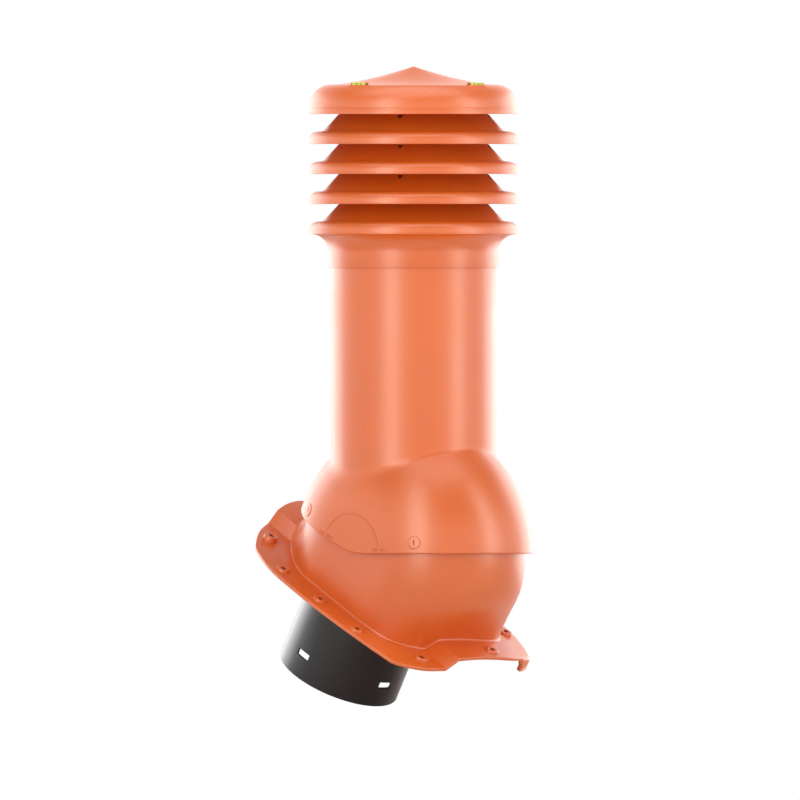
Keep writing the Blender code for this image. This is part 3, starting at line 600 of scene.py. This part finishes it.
# %% Cradles and grooves
QUARTER_TURN = Matrix.Rotation(math.pi / 2, 4, 'X')
VIAL_RADIUS = 2.4 * MM
VIAL_LENGTH = 23 * MM
VIAL_HEIGHT = 35.4 * MM
VIAL_REACH = 105 * MM
VIAL_AZIMUTHS = (math.radians(-83), 0)
VIAL_FRAMES = [upright(CAP_BOTTOM) @ Matrix.Rotation(azimuth, 4, 'Z')
               @ Matrix.Translation((VIAL_REACH, 0, VIAL_HEIGHT)) for azimuth in VIAL_AZIMUTHS]
CRADLE_TOP = CAP_EAVE - 0.5 * MM - VIAL_HEIGHT
CRADLE_SIZE = (8 * MM, 29 * MM, 2 * VIAL_RADIUS + 4 * MM)


def rod(name, radius, length, frame, vertices=32, round_end=0.0):
    """A round rod along a frame's Y axis, its ends rounded if asked."""
    bpy.ops.object.select_all(action='DESELECT')
    bpy.ops.mesh.primitive_cylinder_add(vertices=vertices, radius=radius, depth=length,
                                        rotation=(math.radians(90), 0, 0))
    piece = bpy.context.object
    piece.name = name
    if round_end:
        bpy.ops.object.mode_set(mode='EDIT')
        bpy.ops.mesh.select_all(action='DESELECT')
        bpy.ops.object.mode_set(mode='OBJECT')
        for face in piece.data.polygons:
            face.select = abs(face.normal.z) > 0.9
        bpy.ops.object.mode_set(mode='EDIT')
        bpy.ops.mesh.region_to_loop()
        bpy.ops.mesh.bevel(offset=round_end, segments=4)
        bpy.ops.object.mode_set(mode='OBJECT')
    bpy.ops.object.transform_apply(rotation=True)
    piece.data.transform(frame)
    return piece


GROOVE_RADIUS = VIAL_RADIUS + GAP
GROOVE_LENGTH = VIAL_LENGTH + 2 * GAP
for vial_frame in VIAL_FRAMES:
    block = vial_frame @ Matrix.Translation((0, 0, CRADLE_TOP - CRADLE_SIZE[2] / 2))
    cut(cap, bar("cradle", CRADLE_SIZE, block, 0.6 * MM), 'UNION')
    cut(cap, rod("groove", GROOVE_RADIUS, GROOVE_LENGTH, vial_frame))
    mouth_size = (2 * GROOVE_RADIUS, GROOVE_LENGTH, 3 * VIAL_RADIUS)
    cut(cap, bar("mouth", mouth_size,
                 vial_frame @ Matrix.Translation((0, 0, 1.5 * VIAL_RADIUS)), 0.01 * MM))
moulded(cap, "vent_cap")

# %% [markdown]
# ## Collar
# The fourth tier has the same rim and cone, and below it a hollow flare that runs down to
# a sleeve. The sleeve slips over the tube and ends in a sharp edge, which throws a thin dark
# line on the tube.
# %% The collar
TUBE_RADIUS = 99 * MM
SLEEVE_RADIUS = TUBE_RADIUS + GAP + 2.1 * MM
SLEEVE_DEPTH = 40.8 * MM
FLARE_RADIUS = RIM_RADIUS - 1.4 * MM
FLARE_DROP = 22 * MM
HOOD_WALL = 3 * MM
TUBE_STOP = 7 * MM
collar_section = ring_outside() + [(FLARE_RADIUS + 0.3 * MM, 0)]
collar_section += arc((FLARE_RADIUS, -FLARE_DROP), SLEEVE_RADIUS - FLARE_RADIUS, FLARE_DROP,
                      90, 0, 16)
collar_section += [(SLEEVE_RADIUS, -SLEEVE_DEPTH), (TUBE_RADIUS + GAP, -SLEEVE_DEPTH),
                   (TUBE_RADIUS + GAP, -TUBE_STOP), (TUBE_RADIUS - HOOD_WALL, -TUBE_STOP),
                   (TUBE_RADIUS - HOOD_WALL, HEAD_WALL - TUBE_STOP),
                   (SLEEVE_RADIUS + 2 * HEAD_WALL, HEAD_WALL - TUBE_STOP),
                   (FLARE_RADIUS - 1.5 * HEAD_WALL, HEAD_WALL * 0.9)]
collar_section = soften(collar_section + ring_inside(), 0.5 * MM)
collar = turned("collar", collar_section, upright(COLLAR_HEIGHT), steps=160)
collar = join([collar, *posts(COLLAR_HEIGHT, LOUVRE_PITCH + LIP_HEIGHT - HEAD_WALL - GAP)],
              "collar")
moulded(collar, "head_collar")

# %% [markdown]
# ## Hood
# The tube and the hood are one moulding. The hood is a barrel: a flat disc on each side, and
# every point within a fixed reach of that disc. A spin can't give it, and neither can a cube with
# rounded edges, because the barrel has to grow softly into the tube. So a grid is added, and each
# of its points is laid on the skin that the two forms share. Solidify gives the wall, and a bevel
# rounds the lower edge.
# %% The barrel and the tube
BARREL_CORE = 48.5 * MM
BARREL_ROUND = 107.4 * MM
BARREL_REACH = 110 * MM
BARREL_STRETCH = BARREL_REACH / BARREL_ROUND
TUBE_BLEND = 5 * MM
COVER_ANGLE = math.radians(24.7)
EDGE_BLEND = 9.6 * MM
TUBE_TOP = COLLAR_HEIGHT - TUBE_STOP - GAP


def bisect(low, high, too_high, steps=34):
    """The value between low and high where too_high turns true."""
    for _ in range(steps):
        middle = (low + high) / 2
        if too_high(middle):
            high = middle
        else:
            low = middle
    return (low + high) / 2


def smooth_larger(a, b, blend):
    """The larger of two values, with a soft change where they are near each other."""
    near = max(blend - abs(a - b), 0.0) / blend
    return max(a, b) + near * near * blend / 4


def in_barrel(x, y, z, roundness):
    from_axis = math.hypot(x, z)
    return math.hypot(max(from_axis - BARREL_CORE, 0) / BARREL_STRETCH, y) < roundness


def barrel_radius(azimuth, height, roundness):
    """How far from the tube's axis the barrel's skin lies."""
    across, away = math.cos(azimuth), math.sin(azimuth)
    return bisect(0, BARREL_CORE + 1.2 * roundness,
                  lambda r: not in_barrel(r * across, r * away, height, roundness))


def hood_radius(azimuth, height):
    return smooth_larger(TUBE_RADIUS, barrel_radius(azimuth, height, BARREL_ROUND), TUBE_BLEND)


def hood_edge(along):
    """Height of the hood's lower edge: level downhill, and rising uphill."""
    return smooth_larger(0, -along * math.tan(COVER_ANGLE), EDGE_BLEND)


def edge_height(azimuth, radius_at, above=0.0):
    """Where a skin meets the hood's edge, or a line above it."""
    return bisect(0, BARREL_CORE + BARREL_ROUND, lambda height: height > above + hood_edge(
        radius_at(azimuth, height) * math.cos(azimuth)), 24)


def wrapped(name, columns, rows, column_of):
    """Lay a grid on a surface: column_of(azimuth) gives the points from low to high."""
    bpy.ops.object.select_all(action='DESELECT')
    bpy.ops.mesh.primitive_grid_add(x_subdivisions=columns, y_subdivisions=rows, size=1)
    piece = bpy.context.object
    piece.name = name
    points = [column_of(math.tau * column / columns) for column in range(columns)]
    for vertex in piece.data.vertices:
        column = round((vertex.co.x + 0.5) * columns) % columns
        vertex.co = points[column][round((vertex.co.y + 0.5) * rows)]
    bpy.ops.object.mode_set(mode='EDIT')
    bpy.ops.mesh.select_all(action='SELECT')
    bpy.ops.mesh.remove_doubles(threshold=0.002 * MM)
    bpy.ops.mesh.normals_make_consistent(inside=False)
    bpy.ops.object.mode_set(mode='OBJECT')
    return piece


# %% Lay the grid on the hood
HOOD_COLUMNS = 180
HOOD_ROWS = 64
TUBE_ROWS = 10
BLEND_TOP = 132 * MM


def hood_column(azimuth):
    """Points up the hood and the tube in one direction."""
    low = edge_height(azimuth, hood_radius)
    heights = [low + (BLEND_TOP - low) * row / HOOD_ROWS for row in range(HOOD_ROWS)]
    heights += [BLEND_TOP + (TUBE_TOP - BLEND_TOP) * row / TUBE_ROWS
                for row in range(TUBE_ROWS + 1)]
    column = []
    for height in heights:
        radius = hood_radius(azimuth, height) if height < BLEND_TOP else TUBE_RADIUS
        column.append(centre + Vector((radius * math.cos(azimuth), radius * math.sin(azimuth),
                                       height)))
    return column


hood = wrapped("hood_shell", HOOD_COLUMNS, HOOD_ROWS + TUBE_ROWS, hood_column)
apply_modifier(hood, 'SOLIDIFY', thickness=HOOD_WALL, offset=-1)
apply_modifier(hood, 'BEVEL', width=0.7 * MM, segments=3, limit_method='ANGLE',
               angle_limit=math.radians(50), harden_normals=False)
print("hood faces:", len(hood.data.polygons))

# %% Frames of the four screws
SCREW_SIDE = 96 * MM
SCREW_HEAD = 8 * MM
SCREW_SETBACK = math.radians(7.8)
screw_frames = []
for side in (-1, 1):
    reach = BARREL_STRETCH * math.sqrt(BARREL_ROUND ** 2 - SCREW_SIDE ** 2)
    for polar in (SCREW_SETBACK, math.pi - COVER_ANGLE - SCREW_SETBACK):
        out = Vector((math.cos(polar), 0, math.sin(polar)))
        spot = out * (BARREL_CORE + reach) + Vector((0, side * SCREW_SIDE, 0))
        lean = out * reach / BARREL_STRETCH ** 2 + Vector((0, side * SCREW_SIDE, 0))
        normal = lean.normalized()
        across = Vector((0, 0, 1)).cross(normal).normalized()
        turn = Matrix((across, normal.cross(across), normal)).transposed().to_4x4()
        screw_frames.append(Matrix.Translation(centre + spot) @ turn)

# %% Cut the screw seats, the engraved arc and the rows of strokes
SEAT_GAP = 0.15 * MM
ARC_START, ARC_END = 10.7, 143.1
ARC_INNER = BARREL_CORE - 0.9 * MM
STROKE_GROUPS = ((48.9 * MM, 4.3 * MM, 0), (-42 * MM, 23.3 * MM, COVER_ANGLE))
STROKES = 8
STROKE_PITCH, STROKE_GAP = 2.7 * MM, 3.2 * MM


def on_disc(side, along, up, out=0.0):
    """A place on the flat disc of one side, or out from it."""
    return centre + Vector((along, side * (BARREL_ROUND + out), up))


seats = [rod("seat", SCREW_HEAD + SEAT_GAP, 10 * MM,
             screw_frame @ Matrix.Translation((0, 0, 3 * MM)) @ QUARTER_TURN, 48)
         for screw_frame in screw_frames]
arcs, strokes = [], []
arc_line = arc((0, 0), BARREL_CORE, BARREL_CORE, ARC_START, ARC_END, 90)
arc_line += arc((0, 0), ARC_INNER, ARC_INNER, ARC_END, ARC_START, 90)
for side in (-1, 1):
    ring_line = [on_disc(side, *point, out=MM) for point in arc_line]
    arcs.append(prism("arc", ring_line, Vector((0, -side * 1.5 * MM, 0))))
    for along, up, slope in STROKE_GROUPS:
        row_frame = Matrix.Translation(on_disc(side, along, up)) @ Matrix.Rotation(slope, 4, 'Y')
        for number in range(STROKES):
            half_row = STROKE_GAP / 2 if number >= STROKES / 2 else -STROKE_GAP / 2
            step = (number - (STROKES - 1) / 2) * STROKE_PITCH + half_row
            tall = (4.4 if number % 3 else 3.0) * MM
            strokes.append(bar("stroke", (1.2 * MM, 1.6 * MM, tall),
                               row_frame @ Matrix.Translation((step, 0, 0)), 0.05 * MM))
for cutters in (seats, arcs, strokes):
    cut(hood, join(cutters, "hood_cutter"))
moulded(hood, "hood", smooth=40)

# %% [markdown]
# ## Hood screws
# Four plugs hold the hood, two on each side. A plug is a flat head with a rounded edge and
# a short upright slot for a coin, and its shank reaches into the base.
# %% The plugs
SLOT_SIZE = (1.8 * MM, 6 * MM, 4.4 * MM)
SHANK_RADIUS, SHANK_LENGTH = 2.5 * MM, 14 * MM
plug_section = [(0, -2 * MM), (SCREW_HEAD, -2 * MM), (SCREW_HEAD, -0.1 * MM),
                (SCREW_HEAD - 0.15 * MM, 0.2 * MM), (SCREW_HEAD - 0.5 * MM, 0.4 * MM),
                (SCREW_HEAD - 1.2 * MM, 0.5 * MM), (0, 0.5 * MM)]
for number, screw_frame in enumerate(screw_frames, 1):
    plug = turned(f"plug_{number}", plug_section, screw_frame, steps=64, closed=False)
    cut(plug, bar("slot", SLOT_SIZE, screw_frame, 0.1 * MM))
    shank_middle = Matrix.Translation((0, 0, -1.5 * MM - SHANK_LENGTH / 2))
    shank = rod("shank", SHANK_RADIUS, SHANK_LENGTH, screw_frame @ shank_middle @ QUARTER_TURN, 24)
    plug = join([plug, shank], f"plug_{number}")
    moulded(plug, f"hood_screw_{number}")

# %% [markdown]
# ## Base
# The base is a smaller barrel that shows below the hood and then sweeps down to a foot on the
# tilted flange. Its grid is laid column by column: round the barrel first, then along a soft
# curve that leaves the barrel, and last over the small rounded bead at the foot.
# %% Where the foot and the flange lie
BASE_ROUND = BARREL_ROUND - 8.4 * MM
BASE_WALL = 3 * MM
FOOT_HALF_WIDTH = 99 * MM
FOOT_DOWNHILL = 117.6 * MM
FOOT_UPHILL = 175.6 * MM
FOOT_STRAIGHT = 60 * MM
FOOT_SKEW = 0.06
FOOT_BEAD = 2.4 * MM
SEARCH_REACH = 0.3
BAND_INNER = 48 * MM
NEAR_CREASE_RISE = -53.6 * MM
FAR_CREASE_RISE = -56.4 * MM
NEAR_CREASE = 32.4 * MM
FAR_CREASE = -76.8 * MM
CROWN_RISE = 3.8 * MM
FAR_SLOPE = math.tan(math.radians(12))


def flange_rise(side):
    """Height of the flange's top at a place across the roof."""
    if side > BAND_INNER:
        return BAND_RISE
    if side > NEAR_CREASE:
        share = (BAND_INNER - side) / (BAND_INNER - NEAR_CREASE)
        return BAND_RISE + (NEAR_CREASE_RISE - BAND_RISE) * share
    if side < FAR_CREASE:
        return FAR_CREASE_RISE + (side - FAR_CREASE) * FAR_SLOPE
    share = (side - FAR_CREASE) / (NEAR_CREASE - FAR_CREASE)
    chord = FAR_CREASE_RISE + (NEAR_CREASE_RISE - FAR_CREASE_RISE) * share
    return chord + CROWN_RISE * 4 * share * (1 - share)


def in_foot(down, side, inset):
    width = FOOT_HALF_WIDTH - inset
    if down > 0:
        front = FOOT_DOWNHILL - FOOT_SKEW * side - inset
        return (down / front) ** 4 + (abs(side) / width) ** 4 < 1
    past = max(-down - FOOT_STRAIGHT, 0) / (FOOT_UPHILL - FOOT_STRAIGHT - inset)
    return past ** 1.4 + (abs(side) / width) ** 1.4 < 1


def foot_place(azimuth, inset):
    """Down and side of the foot in one direction."""
    down, side = math.cos(azimuth), -math.sin(azimuth)
    reach = bisect(0, SEARCH_REACH, lambda r: not in_foot(r * down, r * side, inset))
    return reach * down, reach * side


# %% Lay the grid on the base
BASE_COLUMNS = 180
BASE_RIM_RISE = 36 * MM
SKIRT_START_UPHILL = 7 * MM
SKIRT_START_DOWNHILL = 38 * MM
SKIRT_START_PULL, SKIRT_END_PULL = 0.4, 0.35
SKIRT_END_LEAN = 1.2
SKIRT_ROWS = 20
BARREL_ROWS = 22
BEAD_ROWS = 6
BEAD_DEPTH = 0.85


def barrel_hit(way):
    """Where a ray from the barrel centre leaves the base's barrel."""
    return way * bisect(0, SEARCH_REACH, lambda r: not in_barrel(*(way * r), BASE_ROUND))


def base_radius(azimuth, height):
    return barrel_radius(azimuth, height, BASE_ROUND)


def base_column(azimuth):
    """Points up the base in one direction, from under the flange to the rim."""
    rim_height = edge_height(azimuth, base_radius, BASE_RIM_RISE)
    radius = base_radius(azimuth, rim_height)
    rim = Vector((radius * math.cos(azimuth), radius * math.sin(azimuth), rim_height))
    down, side = foot_place(azimuth, 0)
    foot = roof_direction(down, side, flange_rise(side) + FOOT_BEAD)
    rim_way, foot_way = rim.normalized(), foot.normalized()

    def on_barrel(share):
        return barrel_hit(foot_way.slerp(rim_way, share))

    def left_the_barrel(share):
        point = on_barrel(share)
        reach = BARREL_CORE + BARREL_REACH
        share = (point.x + reach) / (2 * reach)
        below = SKIRT_START_UPHILL + (SKIRT_START_DOWNHILL - SKIRT_START_UPHILL) * share
        return point.z > hood_edge(point.x) - below

    leave = bisect(0, 1, left_the_barrel, 20)
    start = on_barrel(leave)
    along = (on_barrel(max(leave - 0.02, 0)) - on_barrel(leave + 0.02)).normalized()
    span = (foot - start).length
    first = start + along * span * SKIRT_START_PULL
    end_way = roof_direction(0, 0, 1) + SKIRT_END_LEAN * (start - foot).normalized()
    second = foot + end_way.normalized() * span * SKIRT_END_PULL
    out_down, out_side = foot_place(azimuth, -FOOT_BEAD)
    out_rise = flange_rise(out_side)
    outer = roof_direction(out_down, out_side, out_rise)
    way_in = roof_direction(down - out_down, side - out_side, 0)
    up = roof_direction(0, 0, FOOT_BEAD)
    column = [roof_direction(out_down, out_side, SEAT_RISE)]
    for row in range(BEAD_ROWS + 1):
        angle = math.pi / 2 * row / BEAD_ROWS
        inwards = way_in * BEAD_DEPTH * (1 - math.cos(angle))
        column.append(outer + inwards + up * math.sin(angle))
    column[1] = outer + up * (1 - BEAD_DEPTH)
    skirt = []
    for row in range(SKIRT_ROWS + 1):
        t = row / SKIRT_ROWS
        skirt.append(start * (1 - t) ** 3 + first * 3 * t * (1 - t) ** 2
                     + second * 3 * t ** 2 * (1 - t) + foot * t ** 3)
    column += reversed(skirt)
    column += [on_barrel(leave + (1 - leave) * row / BARREL_ROWS)
               for row in range(1, BARREL_ROWS + 1)]
    return [centre + point for point in column]


base = wrapped("base_shell", BASE_COLUMNS, len(base_column(0.0)) - 1, base_column)
apply_modifier(base, 'SOLIDIFY', thickness=BASE_WALL * 0.9, offset=-1)
moulded(base, "flashing_base", smooth=40)

# %% [markdown]
# ## Flange
# The flange lies on the roof tile. Across the roof it is a level band near us, a short slope,
# a crowned middle and a falling far side, and downhill on the far side it turns down to a lip.
# Its section is extruded along the roof and then kept only inside the outline, as a sheet is
# trimmed to a template.
# %% The outline of the flange
FLANGE_NEAR_WIDTH = 140 * MM
FLANGE_FAR_WIDTH = 148.8 * MM
FLANGE_DOWNHILL = 159.6 * MM
FLANGE_UPHILL = 216 * MM
LIP_STOP = -86 * MM
LIP_START = -100 * MM
LIP_BOTTOM = -77.7 * MM
LIP_WALL = 3.2 * MM
NEAR_STATIONS = ((1, 0), (1, 0.37), (0.993, 0.62), (0.9, 0.861), (0.752, 0.911), (0.57, 0.943),
                 (0.125, 0.996), (-0.213, 1), (-0.389, 0.976), (-0.568, 0.884), (-0.66, 0.789),
                 (-0.81, 0.53), (-0.935, 0.18), (-0.99, -0.04))
FAR_STATIONS = ((1, 0.175), (0.99, 0.383), (0.952, 0.538), (0.883, 0.726), (0.764, 0.82),
                (0.633, 0.898), (0.388, 0.988), (0, 1), (-0.32, 0.965), (-0.54, 0.86),
                (-0.66, 0.742), (-0.81, 0.56), (-0.93, 0.42), (-1, 0.2))


def station(reach, share, width):
    """A place on the outline: down the roof, and towards the near side."""
    return Vector((reach * (FLANGE_DOWNHILL if reach > 0 else FLANGE_UPHILL), share * width))


stations = [station(*pair, FLANGE_NEAR_WIDTH) for pair in reversed(NEAR_STATIONS)]
stations += [station(*pair, -FLANGE_FAR_WIDTH) for pair in FAR_STATIONS]


def rounded_outline(stations, steps):
    """A smooth closed line through its stations."""
    line = []
    for index in range(len(stations)):
        before, start, end, after = (stations[(index + k) % len(stations)] for k in (-1, 0, 1, 2))
        for t in (step / steps for step in range(steps)):
            line.append(0.5 * (2 * start + (end - before) * t
                               + (2 * before - 5 * start + 4 * end - after) * t ** 2
                               + (3 * start - before - 3 * end + after) * t ** 3))
    return line


def inset_line(line, distance):
    """Move a closed line inwards, square to itself."""
    moved = []
    for index, point in enumerate(line):
        along = (line[(index + 1) % len(line)] - line[index - 1]).normalized()
        moved.append(point + Vector((along.y, -along.x)) * distance)
    return moved


outline = rounded_outline(stations, 6)
print("outline points:", len(outline))

# %% The plate, the lip and the opening in the middle
CREASE_SPREAD = 3 * MM
CROWN_STEPS = 20
FOOT_STEPS = 120
BEYOND = 0.3


def outline_block(name, line, low, high):
    points = [on_roof(down, side, low) for down, side in line]
    return prism(name, points, roof_direction(0, 0, high - low))


def section_block(name, low_side, high_side, top_of, bottom_of, low_down, high_down):
    """The flange's section across the roof, extruded down the roof."""
    crown = [FAR_CREASE + (NEAR_CREASE - FAR_CREASE) * step / CROWN_STEPS
             for step in range(CROWN_STEPS + 1)]
    creases = [FAR_CREASE - CREASE_SPREAD, NEAR_CREASE + CREASE_SPREAD,
               BAND_INNER - CREASE_SPREAD, BAND_INNER, BAND_INNER + CREASE_SPREAD]
    marks = [side for side in sorted(crown + creases) if low_side < side < high_side]
    marks = [low_side, *marks, high_side]
    top = [on_roof(low_down, side, top_of(flange_rise(side))) for side in marks]
    bottom = [on_roof(low_down, side, bottom_of(flange_rise(side))) for side in reversed(marks)]
    return prism(name, top + bottom, roof_direction(high_down - low_down, 0, 0))


def foot_outline(inset):
    """The outline of the foot on the roof, moved in or out."""
    return [Vector(foot_place(math.tau * step / FOOT_STEPS, inset)) for step in range(FOOT_STEPS)]


half = FLANGE_FAR_WIDTH * 1.1
flange = section_block("flange", -half, half, lambda rise: rise, lambda rise: rise - FLANGE_WALL,
                       -BEYOND, BEYOND)
lip = section_block("lip", -half, LIP_STOP, lambda rise: rise - FLANGE_WALL / 2,
                    lambda rise: min(LIP_BOTTOM, rise - FLANGE_WALL), LIP_START, BEYOND)
cut(lip, outline_block("lip_inside", inset_line(outline, LIP_WALL), -BEYOND, BEYOND))
cut(flange, lip, 'UNION')
cut(flange, outline_block("template", outline, -BEYOND, 0), 'INTERSECT')
cut(flange, outline_block("opening", foot_outline(BASE_WALL / 2), -BEYOND, 0))
print("flange faces:", len(flange.data.polygons))

# %% Screw bosses on the flange
BOSSES = [(67.2, 121.2, 2.6), (-4.8, 121.2, 2.6), (-76.8, 121.2, 2.6), (-149, 81.6, 6.4),
          (-4.8, -121.2, 2.6), (-76.8, -121.2, 2.6), (-149, -81.6, 6.4), (135.6, 70.8, 2.6),
          (144, -33.6, 2.6), (80.4, -117.6, 4)]
BOSS_HOLE = 3.1 * MM
BOSS_BOTTOM = -4.9 * MM
SHADE_SLEEVE_WALL = 0.3 * MM
roof_turn = Matrix.Rotation(ROOF_PITCH, 4, 'Y')
holes, bosses, shade_sleeves = [], [], []
for number, (down, side, height) in enumerate(BOSSES, 1):
    spot = Matrix.Translation(on_roof(down * MM, side * MM, flange_rise(side * MM))) @ roof_turn
    tall = height * MM
    boss_section = [(9.2 * MM, -1.2 * MM), (8.9 * MM, 0.1 * MM), (8.5 * MM, tall - 1.0 * MM),
                    (8.1 * MM, tall - 0.3 * MM), (7.4 * MM, tall), (3.6 * MM, tall),
                    (3.2 * MM, tall - 0.2 * MM), (BOSS_HOLE, tall - 0.6 * MM),
                    (BOSS_HOLE, BOSS_BOTTOM), (6.0 * MM, BOSS_BOTTOM)]
    bosses.append(turned(f"boss_{number}", boss_section, spot, steps=40))
    # A thin near-black sleeve in each hole is painted shade: it darkens the inside of the hole.
    shade_sleeve_top = tall - 0.9 * MM
    shade_sleeve_section = [(BOSS_HOLE, shade_sleeve_top), (BOSS_HOLE, BOSS_BOTTOM),
                     (BOSS_HOLE - SHADE_SLEEVE_WALL, BOSS_BOTTOM), (BOSS_HOLE - SHADE_SLEEVE_WALL, shade_sleeve_top)]
    shade_sleeves.append(turned(f"shade_sleeve_{number}", shade_sleeve_section, spot, steps=40))
    holes.append(rod("hole", BOSS_HOLE + GAP, 30 * MM, spot @ QUARTER_TURN, 24))
cut(flange, join(holes, "hole_cutter"))
moulded(join(bosses, "bosses"), "flashing_base", smooth=40)
# The sleeves take the near-black shadow plastic as painted shade.
done(join(shade_sleeves, "boss_shade_sleeves"), shadow, ["flashing_base"], smooth=40)

# %% Round the edges of the flange
SHARP = math.radians(60)
only(flange)
bpy.ops.object.mode_set(mode='EDIT')
bpy.ops.mesh.select_mode(type='EDGE')
bpy.ops.mesh.select_all(action='DESELECT')
bpy.ops.mesh.edges_select_sharp(sharpness=SHARP)
bpy.ops.object.mode_set(mode='OBJECT')


def on_far_top(point):
    """Whether a point is on the top edge of the flange above the lip."""
    away = point - centre
    down, side, rise = (away.dot(roof_direction(*axis)) for axis in
                        ((1, 0, 0), (0, 1, 0), (0, 0, 1)))
    return (side < LIP_STOP and down > LIP_START
            and abs(rise - flange_rise(side)) < 0.02 * MM)


corners = [vertex.co for vertex in flange.data.vertices]
for edge in flange.data.edges:
    edge.select = edge.select and all(on_far_top(corners[index]) for index in edge.vertices)
print("edges over the lip:", sum(edge.select for edge in flange.data.edges))
bpy.ops.object.mode_set(mode='EDIT')
bpy.ops.mesh.bevel(offset=4.6 * MM, segments=7, affect='EDGES')
bpy.ops.mesh.select_mode(type='VERT')
bpy.ops.object.mode_set(mode='OBJECT')
apply_modifier(flange, 'BEVEL', width=1.4 * MM, segments=4, limit_method='ANGLE',
               angle_limit=SHARP, use_clamp_overlap=False)
moulded(flange, "flashing_base", smooth=28)

# %% The floor under the base, with the hole for the pipe
PIPE_UPHILL = 37.2 * MM
PIPE_RADIUS = 75 * MM
web = outline_block("web", foot_outline(-FOOT_BEAD * 0.6), SEAT_RISE, BAND_RISE)
pipe_axis = Matrix.Translation(on_roof(-PIPE_UPHILL, 0, 0)) @ roof_turn
cut(web, rod("bore", PIPE_RADIUS + GAP, BEYOND, pipe_axis @ QUARTER_TURN, 128))
moulded(web, "flashing_base", smooth=30)

# %% [markdown]
# ## Duct pipe
# A black pipe hangs square to the roof. It has a collar where it meets the base, a rounded end,
# and four slots near that end where the duct is screwed on.
# %% The pipe
PIPE_WALL = 3 * MM
PIPE_END = -190.2 * MM
PIPE_TOP = -45 * MM
PIPE_COLLAR = PIPE_RADIUS + 5 * MM
PIPE_SLOT = (8 * PIPE_WALL, 20 * MM, 8 * MM)
PIPE_SLOT_PLACE = PIPE_END + 29 * MM
seat = BAND_RISE + GAP
pipe_section = soften([(PIPE_RADIUS, PIPE_TOP), (PIPE_RADIUS, seat + PIPE_WALL),
                       (PIPE_COLLAR, seat + PIPE_WALL), (PIPE_COLLAR, seat),
                       (PIPE_RADIUS, seat), (PIPE_RADIUS, PIPE_END),
                       (PIPE_RADIUS - PIPE_WALL, PIPE_END), (PIPE_RADIUS - PIPE_WALL, PIPE_TOP)],
                      0.9 * MM, 4)
pipe = turned("pipe", pipe_section, pipe_axis, steps=160)
slots = [bar("slot", PIPE_SLOT, pipe_axis @ Matrix.Rotation(math.pi / 2 * quarter, 4, 'Z')
             @ Matrix.Translation((PIPE_RADIUS, 0, PIPE_SLOT_PLACE)), 0.6 * MM)
         for quarter in range(4)]
cut(pipe, join(slots, "slot_cutter"))
done(pipe, black, ["duct_pipe"], smooth=35)

# %% [markdown]
# ## Spirit levels
# Each level is a clear tube of lime liquid with a bubble and two black lines, between two dark
# end caps. The tube is tiny in the picture, but it is what the eye goes to on the cap.
# %% Level materials
lime = plastic("lime_liquid", (0.55, 0.66, 0.030), (0.66, 0.76, 0.045), 0.12, rub=0.1, bump=0.01)
lime.node_tree.nodes["Principled BSDF"].inputs["Coat Weight"].default_value = 0.6
line_paint = plastic("level_line", (0.010, 0.010, 0.010), (0.020, 0.018, 0.016), 0.4, rub=0.1)
cap_plastic = plastic("level_end", (0.30, 0.10, 0.012), (0.38, 0.14, 0.016), 0.35, rub=0.2)
bubble_skin = plastic("level_bubble", (0.80, 0.88, 0.30), (0.88, 0.93, 0.42), 0.08, rub=0.0,
                      bump=0.01)

# %% The levels
LEVEL_END = 1.5 * MM
LINE_PLACE = 3.2 * MM
LINE_OUT, LINE_IN, LINE_HALF = VIAL_RADIUS + 0.08 * MM, VIAL_RADIUS - 0.2 * MM, 0.35 * MM
LINE_SECTION = ((LINE_OUT, -LINE_HALF), (LINE_OUT, LINE_HALF), (LINE_IN, LINE_HALF),
                (LINE_IN, -LINE_HALF))
BUBBLE_RADIUS, BUBBLE_LENGTH = 0.9 * MM, 5.4 * MM
for number, spot in enumerate(VIAL_FRAMES, 1):
    glass = rod(f"level_{number}", VIAL_RADIUS, VIAL_LENGTH - 2 * LEVEL_END, spot, 40, 0.3 * MM)
    done(glass, lime, [f"level_vial_{number}"])
    ends = [rod("end", VIAL_RADIUS + 0.05 * MM, LEVEL_END,
                spot @ Matrix.Translation((0, way * (VIAL_LENGTH - LEVEL_END) / 2, 0)), 40,
                0.5 * MM) for way in (-1, 1)]
    done(join(ends, f"level_ends_{number}"), cap_plastic,
         [f"level_vial_{number}"])
    lines = [turned("line", LINE_SECTION, spot @ Matrix.Translation((0, way * LINE_PLACE, 0))
                    @ QUARTER_TURN, steps=40) for way in (-1, 1)]
    done(join(lines, f"level_lines_{number}"), line_paint,
         [f"level_vial_{number}"])
    bubble = rod(f"level_bubble_{number}", BUBBLE_RADIUS, BUBBLE_LENGTH,
                 spot @ Matrix.Translation((0, 0, VIAL_RADIUS - 0.72 * MM)), 24, 0.6 * MM)
    done(bubble, bubble_skin, [f"level_vial_{number}"])

# %% [markdown]
# ## Floor
# A plain pale floor lies just under the lowest point. The camera looks along it, so it shows only
# in the views from above.
# %% The floor
FLOOR_SIZE = 6
FLOOR_GAP = 0.5 * MM
bpy.ops.object.select_all(action='DESELECT')
bpy.ops.mesh.primitive_plane_add(size=FLOOR_SIZE, location=(0, 0, cad_low[2] - FLOOR_GAP))
floor = bpy.context.object
floor.name = "studio_floor"
only(floor)
bpy.ops.object.transform_apply(location=True)
paper = bpy.data.materials.new("floor_paper")
paper.use_nodes = True
paper_shader = paper.node_tree.nodes["Principled BSDF"]
paper_shader.inputs["Base Color"].default_value = (0.86, 0.86, 0.86, 1)
paper_shader.inputs["Roughness"].default_value = 0.7
floor.data.materials.append(paper)
